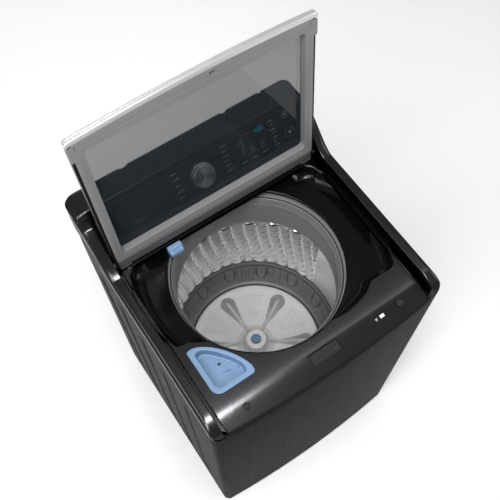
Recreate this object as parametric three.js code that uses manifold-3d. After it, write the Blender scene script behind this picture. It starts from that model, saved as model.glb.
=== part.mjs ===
// Top load washing machine with its lid open: steel cabinet, top cover with a round tub mouth, rear control
// console, hinged lid with a glass window, hanging outer tub, stainless drum, impeller and direct drive.
// Millimetres. +X is to the right seen from the front, the front faces -Y, +Z is up.
// The origin is on the floor at the middle of the object's box.

import * as THREE from "three";
import { mergeVertices } from "three/addons/utils/BufferGeometryUtils.js";
import Module from "manifold-3d";

const wasm = await Module();
wasm.setup();

// Driving dimensions.
const GAP = 0.3; // clearance between neighbouring pieces
const HALF_WIDTH = 343;
const FRONT_Y = -334.5; // front face at the corners
const FRONT_BOW = 15; // how far the front face bulges at its middle
const REAR_Y = 315.5; // rear face of the cabinet
const CONSOLE_REAR_Y = 349.5;
const CORNER_R = 22;
const SHEET = 1.2; // cabinet panel thickness
const SKIN = 3; // moulded wall thickness
const CABINET_BOTTOM = 23;
const SEAM_Z = 965; // joint between the cabinet panels and the top cover
const DECK_Z = 990;
const RAIL_Z = 1027;
const RAIL_INNER_X = 314;
const SLOT_INNER_X = 303;
const ROLL_Y = -288; // where the deck starts to fall to the front
const CONSOLE_TOP_Z = 1138;
const CONSOLE_FRONT_Y = 203;

const AXIS_Y = -7.5; // drum axis
const MOUTH_R = 234;
const SURROUND_Z = 950;
const TUB_R = 288;
const DRUM_R = 264;
const DRUM_WALL = 1;
const RING_R = 220; // opening of the balance ring
const RING_TOP_Z = 934;
const RING_BOTTOM_Z = 800;
const DRUM_BOTTOM_Z = 338;
const IMPELLER_R = 215;

const LOCK_X = 36; // lid lock bolt
const LOCK_Y = -300;

const HINGE_Y = 179.6;
const HINGE_Z = 1007.3;
const LID_OPEN_ANGLE = THREE.MathUtils.degToRad(95.7);
const LID_HALF_WIDTH = 310;
const LID_THICKNESS = 28;
const LID_EDGE_THICKNESS = 16; // at the front edge, where the lid tapers to a grip
const HINGE_INSET = 50; // hinge axis behind the window's rear edge
const HINGE_HEIGHT = 12; // hinge axis above the lid's inner face
const WINDOW_HALF_WIDTH = 278;
const WINDOW_LENGTH = 397;

const FASCIA_MID = new THREE.Vector3(0, 242.5, 1079);
const FASCIA_ANGLE = Math.atan2(104, 70);
const FASCIA_HALF_WIDTH = 304;
const FASCIA_HALF_HEIGHT = 58;
const DIAL_R = 32;

const FOOT_X = 306;
const FOOT_FRONT_Y = -297;
const FOOT_REAR_Y = 280;
const SUSPENSION_REACH = 264; // rods stand this far from the drum axis along X and along Y

const FINISHES = {
  blackSteel: { color: 0x25272a, roughness: 0.38, metalness: 0.6 },
  blackPlastic: { color: 0x1b1c1e, roughness: 0.42, metalness: 0.1 },
  glossBlack: { color: 0x0b0c0d, roughness: 0.12, metalness: 0.0 },
  greyPlastic: { color: 0x77797b, roughness: 0.5, metalness: 0.1 },
  ringGrey: { color: 0x8f9193, roughness: 0.42, metalness: 0.1 },
  baseGrey: { color: 0x4c4e51, roughness: 0.5, metalness: 0.1 },
  chrome: { color: 0xd6d8da, roughness: 0.18, metalness: 0.9 },
  stainless: { color: 0xb9bbbd, roughness: 0.25, metalness: 1.0 },
  smokedGlass: { color: 0x5f6467, roughness: 0.05, metalness: 0.0, transparent: true, opacity: 0.45 },
  blue: { color: 0x7da6d6, roughness: 0.45, metalness: 0.0 },
  impellerGrey: { color: 0xb4b3b2, roughness: 0.45, metalness: 0.2 },
  whitePlastic: { color: 0xd9dadb, roughness: 0.55, metalness: 0.0 },
  rubber: { color: 0x17181a, roughness: 0.85, metalness: 0.0 },
  steel: { color: 0x9a9c9f, roughness: 0.4, metalness: 0.9 },
  copper: { color: 0x9a5b33, roughness: 0.4, metalness: 0.8 },
  board: { color: 0x1f5a38, roughness: 0.6, metalness: 0.0 },
};

const machine = new THREE.Group();

// Solids: a closed geometry as a manifold, joined and cut, and turned back into a geometry.

function solid(geometry) {
  const bare = geometry.clone();
  bare.deleteAttribute("normal");
  bare.deleteAttribute("uv");
  const merged = mergeVertices(bare, 1e-4);
  const index = [...merged.index.array];
  const triVerts = [];
  for (let i = 0; i < index.length; i += 3) {
    const [a, b, c] = index.slice(i, i + 3);
    if (a !== b && b !== c && c !== a) triVerts.push(a, b, c);
  }
  return new wasm.Manifold(
    new wasm.Mesh({
      numProp: 3,
      vertProperties: merged.getAttribute("position").array,
      triVerts: new Uint32Array(triVerts),
    }),
  );
}

function geometryOf(manifold) {
  const mesh = manifold.getMesh();
  const geometry = new THREE.BufferGeometry();
  geometry.setAttribute("position", new THREE.BufferAttribute(new Float32Array(mesh.vertProperties), 3));
  geometry.setIndex(new THREE.BufferAttribute(new Uint32Array(mesh.triVerts), 1));
  geometry.computeVertexNormals();
  return geometry;
}

const join = (first, ...rest) => rest.reduce((whole, piece) => whole.add(piece), first);
const cut = (first, ...rest) => rest.reduce((whole, piece) => whole.subtract(piece), first);

function box(x0, x1, y0, y1, z0, z1) {
  const geometry = new THREE.BoxGeometry(x1 - x0, y1 - y0, z1 - z0);
  return solid(geometry.translate((x0 + x1) / 2, (y0 + y1) / 2, (z0 + z1) / 2));
}

function cylinder(radius, z0, z1, x = 0, y = 0, sides = 32) {
  const geometry = new THREE.CylinderGeometry(radius, radius, z1 - z0, sides);
  return solid(geometry.rotateX(Math.PI / 2).translate(x, y, (z0 + z1) / 2));
}

// A cylinder along X (axis "x") or along Y (axis "y") between two ends.
function crossCylinder(axis, radius, start, end, y, z, sides = 24) {
  const geometry = new THREE.CylinderGeometry(radius, radius, end - start, sides);
  const middle = (start + end) / 2;
  if (axis === "x") return solid(geometry.rotateZ(Math.PI / 2).translate(middle, y, z));
  return solid(geometry.translate(y, middle, z));
}

// A solid of revolution about the drum axis from [radius, height] pairs, closed on itself or on the axis.
function turned(profile, sides = 64, x = 0, y = AXIS_Y) {
  const points = profile.map(([r, z]) => new THREE.Vector2(r, z));
  if (profile[0][0] > 0) points.push(points[0].clone());
  const geometry = new THREE.LatheGeometry(points, sides);
  return solid(geometry.rotateX(Math.PI / 2).translate(x, y, 0));
}

function shapeOf(points) {
  return new THREE.Shape(points.map(([x, y]) => new THREE.Vector2(x, y)));
}

// A flat outline in X and Y raised from z0 to z1.
function raised(points, z0, z1) {
  const geometry = new THREE.ExtrudeGeometry(shapeOf(points), { depth: z1 - z0, bevelEnabled: false });
  return solid(geometry.translate(0, 0, z0));
}

// A side profile in Y and Z carried from x0 to x1.
function carried(points, x0, x1) {
  const geometry = new THREE.ExtrudeGeometry(shapeOf(points), { depth: x1 - x0, bevelEnabled: false });
  const basis = new THREE.Matrix4().makeBasis(
    new THREE.Vector3(0, 1, 0),
    new THREE.Vector3(0, 0, 1),
    new THREE.Vector3(1, 0, 0),
  );
  return solid(geometry.applyMatrix4(basis).translate(x0, 0, 0));
}

// A front outline in X and Z carried from y0 back to y1.
function carriedBack(points, y0, y1) {
  const geometry = new THREE.ExtrudeGeometry(shapeOf(points), { depth: y1 - y0, bevelEnabled: false });
  return solid(geometry.rotateX(Math.PI / 2).translate(0, y1, 0));
}

function arc(x, y, radius, from, to, steps) {
  const points = [];
  for (let i = 0; i <= steps; i++) {
    const angle = THREE.MathUtils.degToRad(from + ((to - from) * i) / steps);
    points.push([x + radius * Math.cos(angle), y + radius * Math.sin(angle)]);
  }
  return points;
}

// A rectangle with four round corners, counter-clockwise.
function roundedRectangle(x0, x1, y0, y1, radius, steps = 4) {
  return [
    ...arc(x1 - radius, y0 + radius, radius, -90, 0, steps),
    ...arc(x1 - radius, y1 - radius, radius, 0, 90, steps),
    ...arc(x0 + radius, y1 - radius, radius, 90, 180, steps),
    ...arc(x0 + radius, y0 + radius, radius, 180, 270, steps),
  ];
}

// A counter-clockwise outline moved outwards along its mitred normals (inwards if the distance is negative).
function offset(points, distance) {
  const count = points.length;
  return points.map((point, i) => {
    const before = points[(i + count - 1) % count];
    const after = points[(i + 1) % count];
    const into = new THREE.Vector2(point[0] - before[0], point[1] - before[1]).normalize();
    const out = new THREE.Vector2(after[0] - point[0], after[1] - point[1]).normalize();
    const normal = new THREE.Vector2(into.y + out.y, -into.x - out.x).normalize();
    const stretch = distance / Math.max(0.5, normal.x * into.y - normal.y * into.x);
    return [point[0] + normal.x * stretch, point[1] + normal.y * stretch];
  });
}

// An outline shrunk about the mean of its points.
function shrunk(points, factor) {
  const middle = points.reduce(([x, y], point) => [x + point[0] / points.length, y + point[1] / points.length], [0, 0]);
  return points.map(([x, y]) => [middle[0] + (x - middle[0]) * factor, middle[1] + (y - middle[1]) * factor]);
}

function add(name, shape, finish, parent = machine) {
  const material = new THREE.MeshStandardMaterial(FINISHES[finish]);
  const mesh = new THREE.Mesh(geometryOf(shape), material);
  mesh.name = name;
  parent.add(mesh);
}

// The cabinet: a bowed front panel that wraps both front corners, two sides, a rear panel and a base.

function bowAt(x) {
  const reach = HALF_WIDTH - CORNER_R;
  return FRONT_Y - FRONT_BOW * (1 - (x / reach) ** 2);
}

function frontCurve(inset) {
  const reach = HALF_WIDTH - CORNER_R;
  const radius = CORNER_R - inset;
  const points = arc(-reach, FRONT_Y + CORNER_R, radius, 180, 262, 4);
  for (let i = 1; i < 12; i++) {
    const x = reach * ((2 * i) / 12 - 1);
    points.push([x, bowAt(x) + inset]);
  }
  return [...points, ...arc(reach, FRONT_Y + CORNER_R, radius, 278, 360, 4)];
}

// Plan outline of the whole top, from the rear edge round the bowed front.
function planOutline(inset) {
  const edge = HALF_WIDTH - inset;
  return [[edge, REAR_Y - inset], [-edge, REAR_Y - inset], ...frontCurve(inset)];
}

function frontPanel() {
  const turnIn = -300;
  const outer = [[-HALF_WIDTH, turnIn], ...frontCurve(0), [HALF_WIDTH, turnIn]];
  const inner = [[-HALF_WIDTH + SHEET, turnIn], ...frontCurve(SHEET), [HALF_WIDTH - SHEET, turnIn]];
  return raised([...outer, ...inner.reverse()], CABINET_BOTTOM, SEAM_Z - GAP);
}

// The left panel, with a shelf at each end of its top that carries a suspension rod.
function leftPanel() {
  const inside = SHEET - HALF_WIDTH;
  const top = SEAM_Z - GAP;
  const sheet = box(-HALF_WIDTH, inside, GAP - 300, REAR_Y, CABINET_BOTTOM, top);
  const flange = box(-HALF_WIDTH, -325, REAR_Y - SHEET, REAR_Y, CABINET_BOTTOM, top);
  let panel = join(sheet, flange);
  for (const end of [-1, 1]) {
    const rodY = AXIS_Y + end * SUSPENSION_REACH;
    const shelf = [
      [SHEET / 2 - HALF_WIDTH, rodY - end * 90],
      [SHEET / 2 - HALF_WIDTH, rodY + end * 25],
      [14 - SUSPENSION_REACH, rodY + end * 25],
      [14 - SUSPENSION_REACH, rodY],
    ];
    panel = join(panel, raised(shelf, 890, 894));
    panel = cut(panel, cylinder(7, 880, 900, -SUSPENSION_REACH, rodY, 12));
  }
  return panel;
}

function rearPanel() {
  const edge = 325 - GAP;
  const sheet = box(-edge, edge, REAR_Y - SHEET, REAR_Y, CABINET_BOTTOM, SEAM_Z - GAP);
  const glandCollar = crossCylinder("y", 14, REAR_Y - 1, REAR_Y + 8, -250, 860, 20);
  const glandHole = crossCylinder("y", 7, REAR_Y - 20, REAR_Y + 20, -250, 860, 16);
  const drainHole = crossCylinder("y", 17, REAR_Y - 20, REAR_Y + 20, 200, 90, 20);
  return cut(join(sheet, glandCollar), glandHole, drainHole);
}

function baseFrame() {
  const outline = roundedRectangle(-340, 340, FRONT_Y + SHEET + 1, REAR_Y - SHEET - 1, 30);
  const well = roundedRectangle(-275, 275, -262, 245, 40);
  let frame = cut(raised(outline, CABINET_BOTTOM + 1, 54), raised(well, 0, 80));
  for (const x of [-FOOT_X, FOOT_X])
    for (const y of [FOOT_FRONT_Y, FOOT_REAR_Y]) frame = cut(frame, cylinder(6.5, 0, 80, x, y, 12));
  return frame;
}

function levellingFoot(x, y) {
  const pad = turned([[0, 0], [20, 0], [22, 3], [19, 9], [0, 9]], 16, x, y);
  const nut = cylinder(10, 14, 20, x, y, 6);
  return join(pad, nut, cylinder(6, 8, 78, x, y, 10));
}

// The top cover: a moulded frame with raised side rails, drain slots, a deck and a front edge that rolls down.

const FRONT_FALL = [[ROLL_Y, DECK_Z], [-300, 988], [-320, 982], [-338, 974], [-350, 966]];
const RAIL_FALL = [[-278, RAIL_Z], [-298, 1021], [-317, 1009], [-333, 991], [-344.5, 976], [-350, 964]];

function sideProfile(fall, top, rear, drop) {
  const bottom = 930;
  const lowered = fall.map(([y, z]) => [y + drop, z - drop]);
  return [[rear, bottom], [rear, top - drop], ...lowered, [lowered.at(-1)[0], bottom]];
}

// The deck's opening round the tub mouth: a circle joined to a wide bay behind it, whose right end swings forward
// in a shallow S.
function deckOpening(spread, z0, z1) {
  const circle = cylinder(242 + spread, z0, z1, 0, AXIS_Y, 40);
  const bay = [
    [-293, -92], [-262, -92], [-215, -70], [60, -239],
    [110, -245], [145, -238], [183, -229], [207, -216], [229, -209], [252, -215], [281, -211], [293, -196],
    ...arc(263, 132, 30, 0, 90, 3),
    ...arc(-263, 132, 30, 90, 180, 3),
  ];
  return join(circle, raised(offset(bay, spread), z0, z1));
}

// Outline of the detergent tray's rim: a quarter fan with its corner at the front left.
function trayOutline() {
  const curve = new THREE.CubicBezierCurve(
    new THREE.Vector2(-164, -232),
    new THREE.Vector2(-174, -178),
    new THREE.Vector2(-230, -114),
    new THREE.Vector2(-268, -111),
  );
  return [
    ...arc(-256, -221, 25, 180, 270, 4),
    ...arc(-174, -236, 10, -90, 20, 2),
    ...curve.getPoints(7).map((point) => [point.x, point.y]),
    [-281, -123],
  ];
}

function topCover() {
  const profile = sideProfile(RAIL_FALL, RAIL_Z, REAR_Y + 1, 0);
  const innerProfile = sideProfile(RAIL_FALL, RAIL_Z, REAR_Y - SKIN, SKIN);
  const outer = raised(planOutline(0), SEAM_Z, RAIL_Z).intersect(carried(profile, -350, 350));
  const inner = raised(planOutline(SKIN), 950, RAIL_Z).intersect(carried(innerProfile, -350, 350));
  const deckTop = [[REAR_Y + 5, DECK_Z], ...FRONT_FALL, [-360, 960], [-360, 1060], [REAR_Y + 5, 1060]];
  const deckUnder = deckTop.map(([y, z]) => [y, z < 1000 ? z - SKIN : z]);
  const aboveDeck = carried(deckTop, -RAIL_INNER_X, RAIL_INNER_X);
  const keepClear = join(
    carried(deckUnder, -RAIL_INNER_X - SKIN, RAIL_INNER_X + SKIN),
    deckOpening(SKIN, 940, 1040),
    raised(offset(trayOutline(), 3.5), 940, 1040),
    box(-48, 48, -318, -279, 968, 1040),
    box(-SLOT_INNER_X - 14, -SLOT_INNER_X + SKIN, -325, 165, 972, 1040),
    box(SLOT_INNER_X - SKIN, SLOT_INNER_X + 14, -325, 165, 972, 1040),
    box(-RAIL_INNER_X - SKIN, RAIL_INNER_X + SKIN, 160, 203, 974, 1040),
  );
  const behindConsole = box(-360, 360, CONSOLE_FRONT_Y - 1, 340, DECK_Z, 1060);
  let cover = cut(outer, aboveDeck, behindConsole, cut(inner, keepClear));
  cover = cut(
    cover,
    deckOpening(0, 940, 1040),
    raised(offset(trayOutline(), 0.6), 940, 1040),
    box(-44, 44, -314, -284, 972, 1040),
    lockColumn(2, 940, 1040),
    box(-RAIL_INNER_X, RAIL_INNER_X, 164, 202, 977, 1040),
  );
  for (const side of [-1, 1]) {
    const slot = [SLOT_INNER_X * side, RAIL_INNER_X * side].sort((a, b) => a - b);
    cover = cut(cover, box(...slot, -322, 163, 975, 1040));
    cover = cut(cover, crossCylinder("x", 7, side > 0 ? 308 : -330, side > 0 ? 330 : -308, HINGE_Y, HINGE_Z));
    cover = cut(cover, cylinder(9.5, 980, 1040, side * 231, -302.5, 20));
  }
  return cover;
}

// The glossy well under the deck, with the round mouth over the drum.
function mouthSurround() {
  const floor = deckOpening(SKIN, SURROUND_Z, SURROUND_Z + SKIN);
  const wall = cut(deckOpening(SKIN, SURROUND_Z, SEAM_Z - GAP), deckOpening(0, 940, 980));
  const lip = cylinder(MOUTH_R + 4, SURROUND_Z - 4, SURROUND_Z + 1, 0, AXIS_Y, 44);
  const mouth = cylinder(MOUTH_R, 900, 990, 0, AXIS_Y, 44);
  return cut(join(floor, wall, lip), mouth);
}

function bumper(x) {
  return turned([[0, 980.5], [9, 980.5], [9, 992.4], [7, 994], [0, 994]], 20, x, -302.5);
}

// The lid lock under the deck: a housing with a channel, and the bolt that rises out of it.
function lidLock() {
  const housing = box(LOCK_X - 60, LOCK_X + 20, LOCK_Y - 14, LOCK_Y + 18, 944, 968);
  return cut(housing, lockColumn(0.5, 948, 990));
}

// The bolt rises through the recess floor into the slot in the lid.
function lockColumn(spread, z0, z1) {
  return box(
    LOCK_X - 6 - spread, LOCK_X + 6 + spread, LOCK_Y - 3.4 - spread, LOCK_Y + 3.4 + spread, z0, z1);
}

// The console across the rear: a hollow moulding with a sloping front and two wings that run down to the rails.

function consoleProfile(inset) {
  const back = CONSOLE_REAR_Y - inset;
  const top = CONSOLE_TOP_Z - inset;
  const slopeShift = inset * 1.2;
  return [
    [CONSOLE_FRONT_Y + inset, DECK_Z + GAP],
    [back, DECK_Z + GAP],
    [back, top - 10],
    [back - 3, top - 3],
    [back - 10, top],
    [290 + inset, top],
    [281 + slopeShift, top - 3],
    [277.5 + slopeShift, 1131 - inset],
    [207.5 + slopeShift, 1027],
    [CONSOLE_FRONT_Y + inset, 1018],
  ];
}

function wingProfile() {
  const points = [[300, RAIL_Z + GAP], [300, 1130]];
  const steps = 8;
  for (let i = 0; i <= steps; i++) {
    const along = i / steps;
    const rise = 0.5 + 0.5 * Math.cos(Math.PI * along);
    points.push([282 - 165 * along, RAIL_Z + 3 + 103 * rise]);
  }
  points.push([115, RAIL_Z + GAP]);
  return points.reverse();
}

function consoleOutline(inset) {
  const radius = 48 - inset;
  const edge = HALF_WIDTH - inset;
  return [
    [edge, 980],
    ...arc(edge - radius, CONSOLE_TOP_Z - inset - radius, radius, 0, 90, 6),
    ...arc(-edge + radius, CONSOLE_TOP_Z - inset - radius, radius, 90, 180, 6),
    [-edge, 980],
  ];
}

function consoleHousing() {
  const body = carried(consoleProfile(0), -HALF_WIDTH, HALF_WIDTH);
  const wings = join(
    carried(wingProfile(), -HALF_WIDTH, -RAIL_INNER_X),
    carried(wingProfile(), RAIL_INNER_X, HALF_WIDTH),
  );
  const hollow = carried(consoleProfile(SKIN), -HALF_WIDTH + SKIN, HALF_WIDTH - SKIN);
  const cavity = hollow.intersect(carriedBack(consoleOutline(SKIN), 100, 360));
  const mouth = box(-HALF_WIDTH + SKIN, HALF_WIDTH - SKIN, CONSOLE_FRONT_Y + SKIN, 312, 980, 1000);
  const shell = join(body, wings).intersect(carriedBack(consoleOutline(0), 90, 360));
  const sideGap = box(-360, 360, 100, CONSOLE_FRONT_Y - GAP, 980, RAIL_Z + GAP);
  return cut(shell, cavity, mouth, sideGap);
}

// Pieces on the sloping front of the console, in its own plane: X across, Y up the slope, Z out of it.
const slope = new THREE.Group();
slope.position.copy(FASCIA_MID);
slope.rotation.x = FASCIA_ANGLE;
machine.add(slope);

const OPTION_KEYS = [
  ["option_key_1", 225, 43],
  ["option_key_2", 225, 18],
  ["option_key_3", 225, -5],
  ["option_key_4", 225, -27],
  ["temperature_key", 120, -27],
  ["spin_speed_key", 152.5, -27],
  ["soil_level_key", 185, -27],
];
const ROUND_KEYS = [["power_key", 270, 40, 11], ["start_key", 270, -13, 16]];
const KEY_HALF = [11, 4];
const KEY_PROUD = 1.2;
const FASCIA_THICKNESS = 3;
const DIAL_Y = 3;

function consoleFascia() {
  const outline = roundedRectangle(
    -FASCIA_HALF_WIDTH, FASCIA_HALF_WIDTH, -FASCIA_HALF_HEIGHT, FASCIA_HALF_HEIGHT, 26, 4);
  let panel = raised(outline, GAP, GAP + FASCIA_THICKNESS);
  for (const [, x, y] of OPTION_KEYS) panel = cut(panel, keyBlock(x, y, ...KEY_HALF, 0.4, 0.9, 10));
  for (const [, x, y, half] of ROUND_KEYS) panel = cut(panel, keyBlock(x, y, half, half, 0.4, 0.9, 10));
  return cut(panel, cylinder(8, 0, 10, 0, DIAL_Y, 24));
}

function keyBlock(x, y, halfX, halfY, spread, z0, z1) {
  const radius = Math.min(halfX, halfY) * 0.5;
  return raised(
    roundedRectangle(x - halfX - spread, x + halfX + spread, y - halfY - spread, y + halfY + spread, radius, 2),
    z0, z1);
}

function dial() {
  const base = GAP + FASCIA_THICKNESS + GAP;
  const knob = turned(
    [[0, base], [DIAL_R + 2, base], [DIAL_R + 2, base + 2], [DIAL_R, base + 3], [DIAL_R, base + 15],
      [DIAL_R - 2, base + 18], [0, base + 18]], 28, 0, DIAL_Y);
  return join(knob, cylinder(7.5, 1, base + 1, 0, DIAL_Y, 24));
}

function controlBoard() {
  return join(box(-150, 290, -46, 46, -22, -20), box(60, 120, -20, 10, -20.5, -12), box(-20, 20, -17, 23, -20.5, -9));
}

// The lid, in its own frame: the hinge axis is the origin, closed it points forward along -Y with its top up.
const lid = new THREE.Group();
lid.position.set(0, HINGE_Y, HINGE_Z);
lid.rotation.x = -LID_OPEN_ANGLE;
machine.add(lid);

// A distance along the lid from the window's rear edge, and a height above its inner face, in the lid's frame.
const along = (distance) => -(distance + HINGE_INSET);
const above = (height) => height - HINGE_HEIGHT;
const LID_REAR = -62;
const LID_FRONT = 436;

function windowCut(margin) {
  const outline = roundedRectangle(
    -WINDOW_HALF_WIDTH - margin, WINDOW_HALF_WIDTH + margin,
    along(WINDOW_LENGTH + margin), along(-margin), 12, 3);
  return raised(outline, above(-20), above(60));
}

// Plan outline of the lid with its bowed front edge.
function lidOutline(halfWidth, rear, front, bow) {
  const points = arc(-halfWidth + 12, along(front - 12), 12, 180, 255, 3);
  for (let i = 1; i < 8; i++) {
    const across = (2 * i) / 8 - 1;
    points.push([across * (halfWidth - 12), along(front + bow * (1 - across ** 2))]);
  }
  points.push(...arc(halfWidth - 12, along(front - 12), 12, 285, 360, 3));
  points.push(...arc(halfWidth - 6, along(rear + 6), 6, 0, 90, 2));
  points.push(...arc(-halfWidth + 6, along(rear + 6), 6, 90, 180, 2));
  return points;
}

// What the lid's outer face loses as it tapers towards the front edge.
function frontTaper(inset) {
  const ahead = along(LID_FRONT + 30);
  const top = above(LID_THICKNESS + 1);
  const edge = above(LID_EDGE_THICKNESS - inset);
  const wedge = [[ahead, edge], [along(LID_FRONT - 8 - inset), edge], [along(LID_FRONT - 30 - inset), top], [ahead, top]];
  return carried(wedge, -LID_HALF_WIDTH - 20, LID_HALF_WIDTH + 20);
}

function lidShell() {
  const outline = lidOutline(LID_HALF_WIDTH, LID_REAR, LID_FRONT - 4, 12);
  const inside = lidOutline(LID_HALF_WIDTH - SKIN, LID_REAR + SKIN, LID_FRONT - 4 - SKIN, 12);
  const body = cut(raised(outline, above(4.3), above(LID_THICKNESS)), frontTaper(0));
  const hollow = cut(raised(inside, above(-5), above(LID_THICKNESS - SKIN)), frontTaper(SKIN));
  const pinHoles = crossCylinder("x", 6.6, -330, 330, 0, 0, 20);
  const notches = [-1, 1].map((side) => {
    const [left, right] = [side * 264, side * 304].sort((a, b) => a - b);
    return box(left, right, along(-50), along(-70), above(4), above(6.4));
  });
  return cut(body, hollow, windowCut(0), pinHoles, ...notches);
}

function lidInnerFrame() {
  const plate = raised(lidOutline(LID_HALF_WIDTH - 9, LID_REAR + 4, LID_FRONT - 9, 12), above(0), above(4));
  const cornerCaps = join(
    box(-LID_HALF_WIDTH, -LID_HALF_WIDTH + 30, along(LID_FRONT - 16), along(LID_FRONT - 62), above(0), above(4)),
    box(LID_HALF_WIDTH - 30, LID_HALF_WIDTH, along(LID_FRONT - 16), along(LID_FRONT - 62), above(0), above(4)),
  );
  const outerRim = raised(
    roundedRectangle(-WINDOW_HALF_WIDTH - 3, WINDOW_HALF_WIDTH + 3, along(WINDOW_LENGTH + 3), along(-3), 14, 3),
    above(3), above(20));
  const boltSlot = box(LOCK_X - 10, LOCK_X + 10, LOCK_Y - HINGE_Y - 5.4, LOCK_Y - HINGE_Y + 4.6, above(-5), above(30));
  const rearStep = box(-300, 300, along(-33), along(-70), above(-10), above(1.2));
  return cut(join(plate, cornerCaps, outerRim), windowCut(0), rearStep, boltSlot);
}

function lidGlass() {
  const edge = roundedRectangle(
    -WINDOW_HALF_WIDTH - 8, WINDOW_HALF_WIDTH + 8, along(WINDOW_LENGTH + 8), along(-8), 14, 3);
  return raised(edge, above(20.5), above(24.5));
}

// The bright strip round the lid's front edge, which is also its handle.
function lidFrontTrim() {
  const front = LID_FRONT + 3.5;
  const outer = raised(lidOutline(LID_HALF_WIDTH, LID_REAR, front, 13), above(-1), above(LID_THICKNESS));
  const inner = raised(lidOutline(LID_HALF_WIDTH + 0.01, LID_REAR - 40, front - 7, 12.5), above(-5), above(40));
  const behind = box(-400, 400, along(LID_FRONT - 12), along(-100), above(-10), above(60));
  return cut(outer, inner, behind, frontTaper(0));
}

// A hinge block bolted into the lid's rear corner, with its tab and the pin that enters the side rail.
function lidHinge(side) {
  const inwards = side * 262;
  const span = (a, b) => [Math.min(a, b), Math.max(a, b)];
  const block = box(...span(inwards, side * 302), along(-32), along(-56), above(4.4), above(21));
  const tab = box(...span(inwards + side * 6, side * 300), along(-59), along(-68), above(1), above(6));
  const bridge = box(...span(inwards + side * 6, side * 300), along(-55), along(-62), above(4.6), above(6));
  const pin = crossCylinder("x", 6, Math.min(side * 300, side * 324), Math.max(side * 300, side * 324), 0, 0, 20);
  return join(block, tab, bridge, pin);
}

// The hanging tub: outer tub, its bearing housing, and the four cups that carry it on the rods.

function suspensionPlaces() {
  const places = [];
  for (const [end, ySide] of [["front", -1], ["rear", 1]])
    for (const [hand, xSide] of [["left", -1], ["right", 1]])
      places.push([`${end}_${hand}`, xSide * SUSPENSION_REACH, AXIS_Y + ySide * SUSPENSION_REACH, xSide, ySide]);
  return places;
}

function outerTub() {
  let tub = turned(
    [[52, 297], [TUB_R - 12, 297], [TUB_R, 309], [TUB_R, 925], [TUB_R - 18, 925], [TUB_R - 18, 922],
      [TUB_R - 3, 922], [TUB_R - 3, 312], [TUB_R - 14, 301], [52, 301]], 36);
  for (const [, x, y, xSide, ySide] of suspensionPlaces()) {
    const lug = [[x + xSide * 16, y - ySide * 16], [x + xSide * 16, y + ySide * 16], [x - xSide * 16, y + ySide * 16],
      [x - xSide * 84, y - ySide * 52], [x - xSide * 52, y - ySide * 84]];
    tub = join(tub, cut(raised(lug, 380, 390), cylinder(TUB_R - 2, 370, 400, 0, AXIS_Y, 36)));
    tub = cut(tub, cylinder(8, 370, 400, x, y, 16));
  }
  return tub;
}

function bearingHousing() {
  return turned(
    [[44, 197], [62, 197], [62, 268], [118, 290], [118, 296.7], [44, 296.7], [44, 284], [42.3, 284], [42.3, 262],
      [34, 262], [34, 225], [42.3, 225], [42.3, 203], [44, 203]], 20);
}

function bearing(z) {
  return turned([[22.3, z], [42, z], [42, z + 20], [22.3, z + 20]], 20);
}

function suspensionRod(x, y) {
  const ball = turned([[0, 894.4], [9, 894.4], [12, 900], [9, 907], [0, 909]], 10, x, y);
  const foot = cylinder(19, 316, 321, x, y, 14);
  return join(cylinder(4.5, 318, 900, x, y, 8), ball, foot);
}

function damperCup(x, y) {
  return turned([[22, 291], [26, 291], [26, 374], [12, 379.6], [7, 379.6], [7, 372], [22, 370]], 14, x, y);
}

function motorStator() {
  let stator = turned([[62.4, 204], [86, 204], [86, 228], [62.4, 228]], 20);
  const teeth = 12;
  for (let i = 0; i < teeth; i++) {
    const tooth = new THREE.BoxGeometry(28, 12, 18);
    tooth.translate(98, 0, 216).rotateZ((2 * Math.PI * i) / teeth).translate(0, AXIS_Y, 0);
    stator = stator.add(solid(tooth));
  }
  return stator;
}

// The drum: stainless wall, moulded base ring, balance ring and the hollow spin shaft.

function washDrum() {
  return turned([[DRUM_R - DRUM_WALL, DRUM_BOTTOM_Z + 12], [DRUM_R, DRUM_BOTTOM_Z + 12], [DRUM_R, RING_TOP_Z - 9],
    [DRUM_R - DRUM_WALL, RING_TOP_Z - 9]], 48);
}

function balanceRing() {
  const outside = DRUM_R - 2;
  return turned(
    [[RING_R + 3, RING_BOTTOM_Z], [outside, RING_BOTTOM_Z], [outside, RING_TOP_Z - 8.5], [DRUM_R + 3, RING_TOP_Z - 8.5],
      [DRUM_R + 3, RING_TOP_Z], [RING_R + 7, RING_TOP_Z], [RING_R + 6, RING_TOP_Z - 4], [RING_R + 1, RING_TOP_Z - 8],
      [RING_R, RING_TOP_Z - 14]], 48);
}

function drumBase() {
  let base = turned(
    [[24, DRUM_BOTTOM_Z - 6], [DRUM_R - 4, DRUM_BOTTOM_Z - 6], [DRUM_R, DRUM_BOTTOM_Z], [DRUM_R, DRUM_BOTTOM_Z + 11.5],
      [DRUM_R - 2.2, DRUM_BOTTOM_Z + 11.5], [DRUM_R - 2.2, 436], [DRUM_R - 8, 436], [DRUM_R - 14, 380],
      [IMPELLER_R + 22, 352], [IMPELLER_R + 6, 350], [IMPELLER_R + 2, DRUM_BOTTOM_Z], [24, DRUM_BOTTOM_Z]], 40);
  const bosses = 12;
  for (let i = 0; i < bosses; i++) {
    const boss = new THREE.CylinderGeometry(9, 9, 12, 8, 1);
    boss.rotateZ(Math.PI / 2).translate(DRUM_R - 10, 0, 398);
    boss.rotateZ((2 * Math.PI * i) / bosses).translate(0, AXIS_Y, 0);
    base = base.add(solid(boss));
  }
  return base;
}

function spinTube() {
  return turned([[10.8, 160], [21.8, 160], [21.8, 318], [60, 322], [60, 331.6], [10.8, 331.6]], 24);
}

function clutchSlider() {
  return turned([[22.2, 168], [33, 168], [33, 184], [30, 188], [22.2, 188]], 24);
}

// The impeller: a shallow dish with six raised ribs, its cap, the drive shaft and the motor's outer rotor.

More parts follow.
